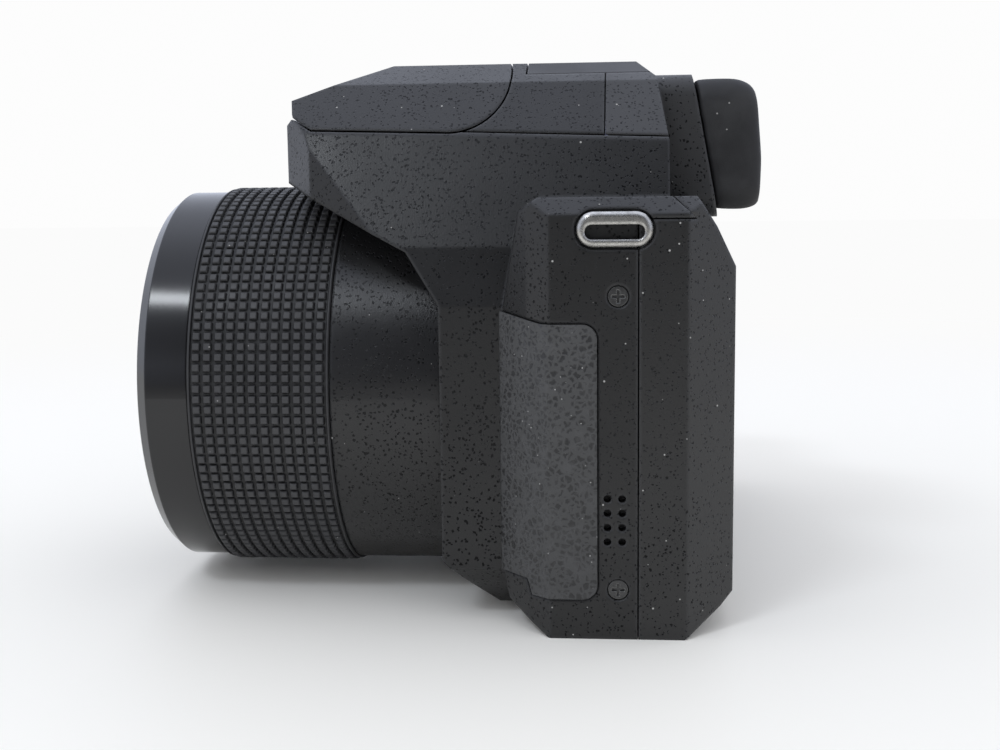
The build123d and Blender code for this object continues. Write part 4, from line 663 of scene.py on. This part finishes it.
# Every edge is painted a pale grey: a painted edge highlight.
feed(tree, shader, Base_Color=laid_over(tree, edge.outputs["Edge"], 0.6, base, (0.32, 0.32, 0.31)))
feed(tree, shader, Roughness=stepped(tree, scuffs, 0.3, 0.7, 0.26, 0.45))
feed(tree, shader, Normal=edge.outputs["Normal"])
dress(["case_screws", "hinge_pins"], black_steel)

# Shutter button and dials: turned and knurled, with a hard satin coat that is painted
# lighter along every edge as a highlight.
dial_coat, tree, shader, point = new_material("dial coat", 0.34, Metallic=0.25)
edge = place_group(tree, rounding, Radius=0.00022)
grain = noise(tree, point, 5200.0, 2.0)
smudge = noise(tree, point, 240.0, 4.0)
base = blend_colour(tree, smudge, (0.016, 0.016, 0.017), (0.028, 0.028, 0.030))
# Every edge is painted a lighter grey: a painted edge highlight.
feed(tree, shader, Base_Color=laid_over(tree, edge.outputs["Edge"], 0.55, base, (0.16, 0.16, 0.165)))
feed(tree, shader, Roughness=stepped(tree, smudge, 0.3, 0.7, 0.28, 0.42))
emboss(tree, shader, grain, 0.000006, over=edge.outputs["Normal"])
dress(["mode_dial", "control_dial", "shutter_button", "movie_button"], dial_coat)

# Printed marks on the controls: pad-printed ink, a few hundredths of a millimetre thick, on the
# flat top of each button and dial. They are plain signs of what each control does.
ink_height = 0.00002
ink_sink = 0.00001


def ink_material(name, colour):
    ink, tree, shader, point = new_material(name, 0.55)
    rubbed = noise(tree, point, 3800.0, 4.0)
    thin = stepped(tree, rubbed, 0.30, 0.46)
    feed(tree, shader, Base_Color=blend_colour(tree, thin, [0.55 * c for c in colour], colour))
    feed(tree, shader, Roughness=stepped(tree, rubbed, 0.3, 0.7, 0.48, 0.62))
    return ink


white_ink = ink_material("white ink", (0.62, 0.62, 0.61))
red_ink = ink_material("red ink", (0.52, 0.015, 0.012))


def disc(x, y, radius, steps=28):
    turns = [2 * math.pi * k / steps for k in range(steps)]
    return [(x + radius * math.cos(t), y + radius * math.sin(t)) for t in turns]


def bar(x, y, width, height):
    return [(x - width / 2, y - height / 2), (x + width / 2, y - height / 2),
            (x + width / 2, y + height / 2), (x - width / 2, y + height / 2)]


def arc_band(radius, width, start, end, steps=24):
    turns = [math.radians(start + (end - start) * k / steps) for k in range(steps + 1)]
    outer = [((radius + width / 2) * math.cos(t), (radius + width / 2) * math.sin(t)) for t in turns]
    turns.reverse()
    inner = [((radius - width / 2) * math.cos(t), (radius - width / 2) * math.sin(t)) for t in turns]
    return outer + inner


def printed(name, control, shapes, ink, facing):
    # Shapes are in millimetres about the middle of the control's outer face.
    low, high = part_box(control)
    middle = (Vector(low) + Vector(high)) / 2
    if facing == "back":
        middle.y = high[1]
        right, up, out = Vector((-1, 0, 0)), Vector((0, 0, 1)), Vector((0, 1, 0))
    else:
        middle.z = high[2]
        right, up, out = Vector((1, 0, 0)), Vector((0, 1, 0)), Vector((0, 0, 1))
    made = bmesh.new()
    for outline in shapes:
        base = [middle + right * x * 0.001 + up * y * 0.001 - out * ink_sink for x, y in outline]
        under = [made.verts.new(p) for p in base]
        over = [made.verts.new(p + out * (ink_height + ink_sink)) for p in base]
        made.faces.new(over)
        made.faces.new(list(reversed(under)))
        for i in range(len(under)):
            j = (i + 1) % len(under)
            made.faces.new((under[i], under[j], over[j], over[i]))
    bmesh.ops.triangulate(made, faces=[f for f in made.faces if len(f.verts) > 4])
    bmesh.ops.recalc_face_normals(made, faces=made.faces)
    piece = new_piece(name, mesh_from(name, made), ink)
    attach(piece, control)
    return piece


play_sign = [(-0.8, -1.05), (1.1, 0.0), (-0.8, 1.05)]
printed("playback_mark", "playback_button", [play_sign], white_ink, "back")
bin_body = [(-0.65, -1.1), (0.65, -1.1), (0.85, 0.55), (-0.85, 0.55)]
printed(
    "bin_mark", "delete_button", [bin_body, bar(0, 0.85, 2.1, 0.26), bar(0, 1.15, 0.7, 0.22)],
    white_ink, "back",
)
three_lines = [bar(0, z, 2.1, 0.34) for z in (-0.75, 0.0, 0.75)]
printed("list_mark", "menu_button", three_lines, white_ink, "back")
printed("note_mark", "info_button", [disc(0, 1.0, 0.30), bar(0, -0.35, 0.46, 1.5)], white_ink, "back")
printed("film_mark", "movie_button", [disc(0, 0, 1.25)], red_ink, "back")
printed(
    "way_marks", "four_way_pad",
    [
        [(-0.9, 6.3), (0.9, 6.3), (0.0, 7.5)], [(-0.9, -6.3), (0.0, -7.5), (0.9, -6.3)],
        [(6.3, -0.9), (7.5, 0.0), (6.3, 0.9)], [(-6.3, -0.9), (-6.3, 0.9), (-7.5, 0.0)],
    ],
    white_ink, "back",
)
for name, control, shapes in (
    ("power_mark", "power_button", [arc_band(1.35, 0.32, 125, 415), bar(0, 1.35, 0.32, 1.3)]),
    ("burst_mark", "drive_button", [bar(-0.35, -0.3, 1.5, 1.1), bar(0.75, 0.35, 0.3, 1.1)]),
    (
        "light_mark", "exposure_button",
        [bar(0, 0.55, 1.3, 0.3), bar(0, 0.55, 0.3, 1.3), bar(0, -0.9, 1.3, 0.3)],
    ),
):
    printed(name, control, shapes, white_ink, "top")
dial_shapes = []
dial_stops = 10
stop_radius = 6.1
for k in range(dial_stops):
    turn = 2 * math.pi * k / dial_stops
    cx, cy = stop_radius * math.sin(turn), stop_radius * math.cos(turn)
    if k % 5 == 0:
        dial_shapes.append(disc(cx, cy, 0.62))
    elif k % 2:
        dial_shapes.append(disc(cx, cy, 0.34))
    else:
        long, short = 0.75, 0.17
        dial_shapes.append([
            (cx + a * long * math.sin(turn) + b * short * math.cos(turn),
             cy + a * long * math.cos(turn) - b * short * math.sin(turn))
            for a, b in ((-1, -1), (-1, 1), (1, 1), (1, -1))
        ])
printed("dial_marks", "mode_dial", dial_shapes, white_ink, "top")

# Front glass and viewfinder glass: ground, polished and dark to look into, with a thin
# layer that cuts reflections to a faint violet. The front one sits in the front barrel.
optical_glass, tree, shader, point = new_material(
    "optical glass", 0.02, Transmission_Weight=1.0, IOR=1.52
)
shader.inputs["Coat Weight"].default_value = 0.25
shader.inputs["Coat Roughness"].default_value = 0.02
shader.inputs["Coat Tint"].default_value = (0.86, 0.84, 1.0, 1.0)
dirt = noise(tree, point, 120.0, 5.0)
feed(tree, shader, Roughness=stepped(tree, dirt, 0.45, 0.75, 0.01, 0.05))
feed(tree, shader, Base_Color=blend_colour(tree, dirt, (0.30, 0.31, 0.36), (0.24, 0.25, 0.29)))
dress(["viewfinder_optics"], optical_glass)
front_glass = eased_copy("front_glass", "front_lens", 0.0001, 2, optical_glass)
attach(front_glass, "front_barrel")
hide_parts("front_lens")

# Barrels and carriers of the lens: matt black mouldings that slide in each other. Fine
# grooves run round them and kill stray light.
groove_turns = 9500.0
barrel_black, tree, shader, point = new_material("ridged black", 0.5)
edge = place_group(tree, rounding, Radius=0.0003)
apart = node(tree, "ShaderNodeSeparateXYZ", Vector=point)
ridges = maths(tree, "SINE", maths(tree, "MULTIPLY", apart.outputs["Y"], groove_turns))
grain = noise(tree, point, 3000.0, 3.0)
feed(tree, shader, Base_Color=blend_colour(tree, grain, (0.006, 0.006, 0.0065), (0.014, 0.014, 0.015)))
feed(tree, shader, Roughness=stepped(tree, grain, 0.3, 0.7, 0.42, 0.6))
emboss(tree, shader, ridges, 0.00003, strength=0.5, over=edge.outputs["Normal"])
dress(
    ["front_barrel", "mid_barrel", "cam_ring", "name_ring", "zoom_group", "focus_group", "lens_carrier"],
    barrel_black,
)

# Rear screen: a hard clear window bonded over the display, with a darker border on three
# sides. Touch has left it a little less glossy in places.
picture_left, picture_right = -0.0270, 0.0350
picture_foot, picture_top = 0.0085, 0.0525
soft_side = 0.0003
screen_face, tree, shader, point = new_material("screen window", 0.06, Coat_Weight=0.5)
shader.inputs["Coat Roughness"].default_value = 0.03
apart = node(tree, "ShaderNodeSeparateXYZ", Vector=point)
display = 1.0
for axis, low, high in (("X", picture_left, picture_right), ("Z", picture_foot, picture_top)):
    past_low = stepped(tree, apart.outputs[axis], low, low + soft_side)
    before_high = stepped(tree, apart.outputs[axis], high - soft_side, high, 1.0, 0.0)
    inside = maths(tree, "MULTIPLY", past_low, before_high)
    display = maths(tree, "MULTIPLY", inside, display)
prints = noise(tree, point, 95.0, 6.0)
shade = blend_colour(tree, display, (0.0045, 0.0045, 0.005), (0.012, 0.013, 0.017))
feed(tree, shader, Base_Color=shade)
feed(tree, shader, Roughness=stepped(tree, prints, 0.5, 0.8, 0.05, 0.20))
edge = place_group(tree, rounding, Radius=0.0003)
feed(tree, shader, Normal=edge.outputs["Normal"])
dress(["screen_window"], screen_face)

# Focus lamp and flash window: clear mouldings with fine prism ribs that spread the light.
# Each is pressed into its frame from inside.
rib_turns = 7000.0
lamp_clear, tree, shader, point = new_material("ribbed clear", 0.16, Transmission_Weight=0.75, IOR=1.49)
apart = node(tree, "ShaderNodeSeparateXYZ", Vector=point)
ribs = maths(tree, "SINE", maths(tree, "MULTIPLY", apart.outputs["X"], rib_turns))
haze = noise(tree, point, 900.0, 3.0)
feed(tree, shader, Base_Color=blend_colour(tree, haze, (0.85, 0.84, 0.80), (0.70, 0.70, 0.68)))
feed(tree, shader, Roughness=stepped(tree, haze, 0.3, 0.7, 0.10, 0.24))
emboss(tree, shader, ribs, 0.0002)
dress(["flash_window", "focus_lamp"], lamp_clear)

# Inner mouldings: plain dark plastic, with the faint flow marks of a quick moulding. They
# are screwed or clipped to the chassis and to the shells.
inner_plastic, tree, shader, point = new_material("inner moulding", 0.5)
flow = noise(tree, point, 140.0, 4.0, Distortion=1.5)
grain = noise(tree, point, 2600.0, 3.0)
feed(tree, shader, Base_Color=blend_colour(tree, flow, (0.028, 0.028, 0.029), (0.045, 0.045, 0.046)))
feed(tree, shader, Roughness=stepped(tree, flow, 0.3, 0.7, 0.42, 0.58))
emboss(tree, shader, grain, 0.00002)
dress(["flash_frame", "flash_lamp", "battery_chamber", "speaker_and_microphones"], inner_plastic)

# Chassis, screen tray, sensor slider and terminal sockets: pressed from rolled steel sheet,
# which keeps the fine lines of the rollers.
pressed_steel, tree, shader, point = new_material("pressed steel", 0.38, Metallic=1.0)
rolled = node(tree, "ShaderNodeMapping", Vector=point, Scale=(400.0, 400.0, 6000.0))
lines = noise(tree, rolled.outputs[0], 1.0, 4.0)
stains = noise(tree, point, 160.0, 4.0)
feed(tree, shader, Base_Color=blend_colour(tree, stains, (0.50, 0.50, 0.50), (0.62, 0.61, 0.60)))
feed(tree, shader, Roughness=stepped(tree, lines, 0.3, 0.7, 0.28, 0.46))
emboss(tree, shader, lines, 0.00001, strength=0.5)
dress(["chassis", "screen_panel", "sensor_slider", "terminal_sockets"], pressed_steel)

# Tripod socket: turned brass with a cut thread in its bore, pressed into the base plate.
# Handling has tarnished it in patches.
thread_turns = 4947.0
turned_brass, tree, shader, point = new_material("turned brass", 0.26, Metallic=1.0)
apart = node(tree, "ShaderNodeSeparateXYZ", Vector=point)
thread = maths(tree, "SINE", maths(tree, "MULTIPLY", apart.outputs["Z"], thread_turns))
tarnish = noise(tree, point, 520.0, 5.0)
feed(tree, shader, Base_Color=blend_colour(tree, tarnish, (0.78, 0.60, 0.31), (0.52, 0.38, 0.18)))
feed(tree, shader, Roughness=stepped(tree, tarnish, 0.3, 0.7, 0.20, 0.42))
emboss(tree, shader, thread, 0.00025)
dress(["tripod_socket"], turned_brass)

# Circuit board: glass-fibre board with etched tracks under green lacquer, screwed to the
# chassis behind the grip.
board_lacquer, tree, shader, point = new_material("board lacquer", 0.32)
tracks = node(tree, "ShaderNodeTexVoronoi", {"distance": "MANHATTAN"}, Vector=point, Scale=520.0)
track = stepped(tree, tracks.outputs["Distance"], 0.30, 0.36)
feed(tree, shader, Base_Color=blend_colour(tree, track, (0.012, 0.090, 0.040), (0.020, 0.150, 0.065)))
feed(tree, shader, Roughness=stepped(tree, tracks.outputs["Distance"], 0.30, 0.36, 0.26, 0.40))
dress(["main_board"], board_lacquer)

# Sensor stage: a dark chip under cover glass on its moving carrier. Its fine cells show as
# a change of tone only.
sensor_face, tree, shader, point = new_material("sensor face", 0.12, Coat_Weight=0.6)
pixels = node(tree, "ShaderNodeTexChecker", Vector=point, Scale=3000.0)
cell = pixels.outputs["Fac"]
feed(tree, shader, Base_Color=blend_colour(tree, cell, (0.020, 0.024, 0.040), (0.030, 0.030, 0.034)))
feed(tree, shader, Roughness=stepped(tree, cell, 0.0, 1.0, 0.10, 0.20))
dress(["sensor_stage"], sensor_face)

# Battery and memory card: plain welded cases of satin plastic, each with one paler field
# across its middle.
case_plastic, tree, shader, point = new_material("case plastic", 0.36)
apart = node(tree, "ShaderNodeSeparateXYZ", Vector=point)
label = maths(
    tree, "MULTIPLY", stepped(tree, apart.outputs["Z"], 0.0120, 0.0122),
    stepped(tree, apart.outputs["Z"], 0.0400, 0.0402, 1.0, 0.0),
)
grain = noise(tree, point, 3200.0, 2.0)
shade = blend_colour(tree, grain, (0.030, 0.031, 0.034), (0.040, 0.041, 0.044))
feed(tree, shader, Base_Color=blend_colour(tree, label, shade, (0.105, 0.108, 0.115)))
feed(tree, shader, Roughness=stepped(tree, grain, 0.3, 0.7, 0.30, 0.42))
dress(["battery", "memory_card"], case_plastic)

# Floor: a wide pale sheet of paper that the object stands on. From a short way off it glows
# at one even level, so that it runs into the white room behind without a line.
sheet_half = 3.0
seen_white = 0.965


def chosen_by(tree, flag, when_set, otherwise):
    unset = maths(tree, "SUBTRACT", 1.0, flag)
    return maths(
        tree, "ADD", maths(tree, "MULTIPLY", flag, when_set), maths(tree, "MULTIPLY", unset, otherwise)
    )


sheet = bmesh.new()
sheet.faces.new([
    sheet.verts.new((x * sheet_half, y * sheet_half, 0.0))
    for x, y in ((-1, -1), (1, -1), (1, 1), (-1, 1))
])
pale_sheet, tree, shader, point = new_material("pale sheet", 0.6)
shader.inputs["Base Color"].default_value = (0.93, 0.93, 0.925, 1.0)
apart = node(tree, "ShaderNodeSeparateXYZ", Vector=point)
across = maths(tree, "POWER", apart.outputs["X"], 2.0)
along_lens = maths(tree, "POWER", apart.outputs["Y"], 2.0)
away = maths(tree, "SQRT", maths(tree, "ADD", across, along_lens))
rays = node(tree, "ShaderNodeLightPath")
seen = maths(tree, "MAXIMUM", rays.outputs["Is Camera Ray"], rays.outputs["Is Transmission Ray"])
seen = maths(tree, "MAXIMUM", seen, rays.outputs["Is Glossy Ray"])
# Mirrored in the object, the sheet is dimmer towards the camera.
mirror_level = stepped(tree, apart.outputs["X"], 0.25, 0.60, seen_white, 0.25)
level = chosen_by(tree, rays.outputs["Is Glossy Ray"], mirror_level, seen_white)
glow = node(tree, "ShaderNodeEmission", Strength=level)
mixed = node(
    tree, "ShaderNodeMixShader", n0=maths(tree, "MULTIPLY", seen, stepped(tree, away, 0.16, 0.50)),
    n1=shader.outputs["BSDF"], n2=glow.outputs[0],
)
tree.links.new(mixed.outputs[0], tree.nodes["Material Output"].inputs["Surface"])
floor = new_piece("floor", mesh_from("pale sheet", sheet), pale_sheet)

# Room: white all round for the eye and for plain light. In the object's mirrored light it is
# brightest overhead and on the far side, and one soft dark patch lies on the camera's side.
plain_level = 0.98
high_towards = (0.890, 0.094, 0.446)
low_towards = (0.994, 0.100, -0.030)
world = bpy.data.worlds.new("studio")
bpy.context.scene.world = world
world.use_nodes = True
sky = world.node_tree
background = sky.nodes["Background"]
rays = sky.nodes.new("ShaderNodeLightPath")
glossy = rays.outputs["Is Glossy Ray"]
seen = maths(sky, "MAXIMUM", rays.outputs["Is Camera Ray"], rays.outputs["Is Transmission Ray"])
towards = sky.nodes.new("ShaderNodeTexCoord").outputs["Generated"]
parts = node(sky, "ShaderNodeSeparateXYZ", Vector=towards)
product = {"operation": "DOT_PRODUCT"}
near_patch = [
    node(sky, "ShaderNodeVectorMath", product, n0=towards, n1=middle).outputs["Value"]
    for middle in (high_towards, low_towards)
]
dim_patch = stepped(sky, maths(sky, "MAXIMUM", *near_patch), 0.83, 0.955, 1.0, 0.10)
near_side = stepped(sky, parts.outputs["X"], -0.35, 0.30, 1.12, 0.80)
overhead = stepped(sky, parts.outputs["Z"], 0.72, 0.97, 1.0, 1.20)
soft = maths(sky, "MULTIPLY", maths(sky, "MULTIPLY", near_side, overhead), dim_patch)
level = chosen_by(sky, glossy, soft, plain_level)
strength = maths(sky, "MAXIMUM", level, maths(sky, "MULTIPLY", seen, seen_white))
sky.links.new(strength, background.inputs["Strength"])
sky_tint = blend_colour(sky, glossy, (1.0, 1.0, 1.0), (0.89, 0.95, 1.12))
sky.links.new(sky_tint, background.inputs["Color"])

# Window: one narrow soft light, high up in front and on the camera's side. It draws the
# bright band on the front ring.
window_place = Vector((0.62, -0.43, 0.86))
window_aim = Vector((0.0, -0.04, 0.04))
lamp = bpy.data.lights.new("window", "AREA")
lamp.shape = "RECTANGLE"
lamp.size = 0.30
lamp.size_y = 0.11
lamp.energy = 1.9
lamp.color = (0.90, 0.95, 1.0)
window = bpy.data.objects.new("window", lamp)
bpy.context.scene.collection.objects.link(window)
window.location = window_place
window.rotation_mode = "QUATERNION"
window.rotation_quaternion = (window_aim - window_place).to_track_quat("-Z", "Y")

# Camera: about a quarter of a metre to the left of the lens axis and a little above it,
# turned slightly towards the front and down.
aim_lift = math.atan(2.5 / 1350)
ahead = Vector((-0.98767, -0.08716, -0.13003)).normalized()
upright = Vector((-0.13053, 0.0, 0.99144)).normalized()
forward = math.cos(aim_lift) * ahead - math.sin(aim_lift) * upright
above = math.cos(aim_lift) * upright + math.sin(aim_lift) * ahead
side = forward.cross(above).normalized()
camera = bpy.data.cameras.new("camera")
camera.sensor_width = 36.0
camera.lens = 48.6
camera.clip_start = 0.01
eye = bpy.data.objects.new("camera", camera)
bpy.context.scene.collection.objects.link(eye)
eye.location = (0.24231, 0.0, 0.0669)
eye.rotation_mode = "QUATERNION"
eye.rotation_quaternion = Matrix((side, above, -forward)).transposed().to_quaternion()
bpy.context.scene.camera = eye
bpy.context.scene.view_settings.view_transform = "Standard"
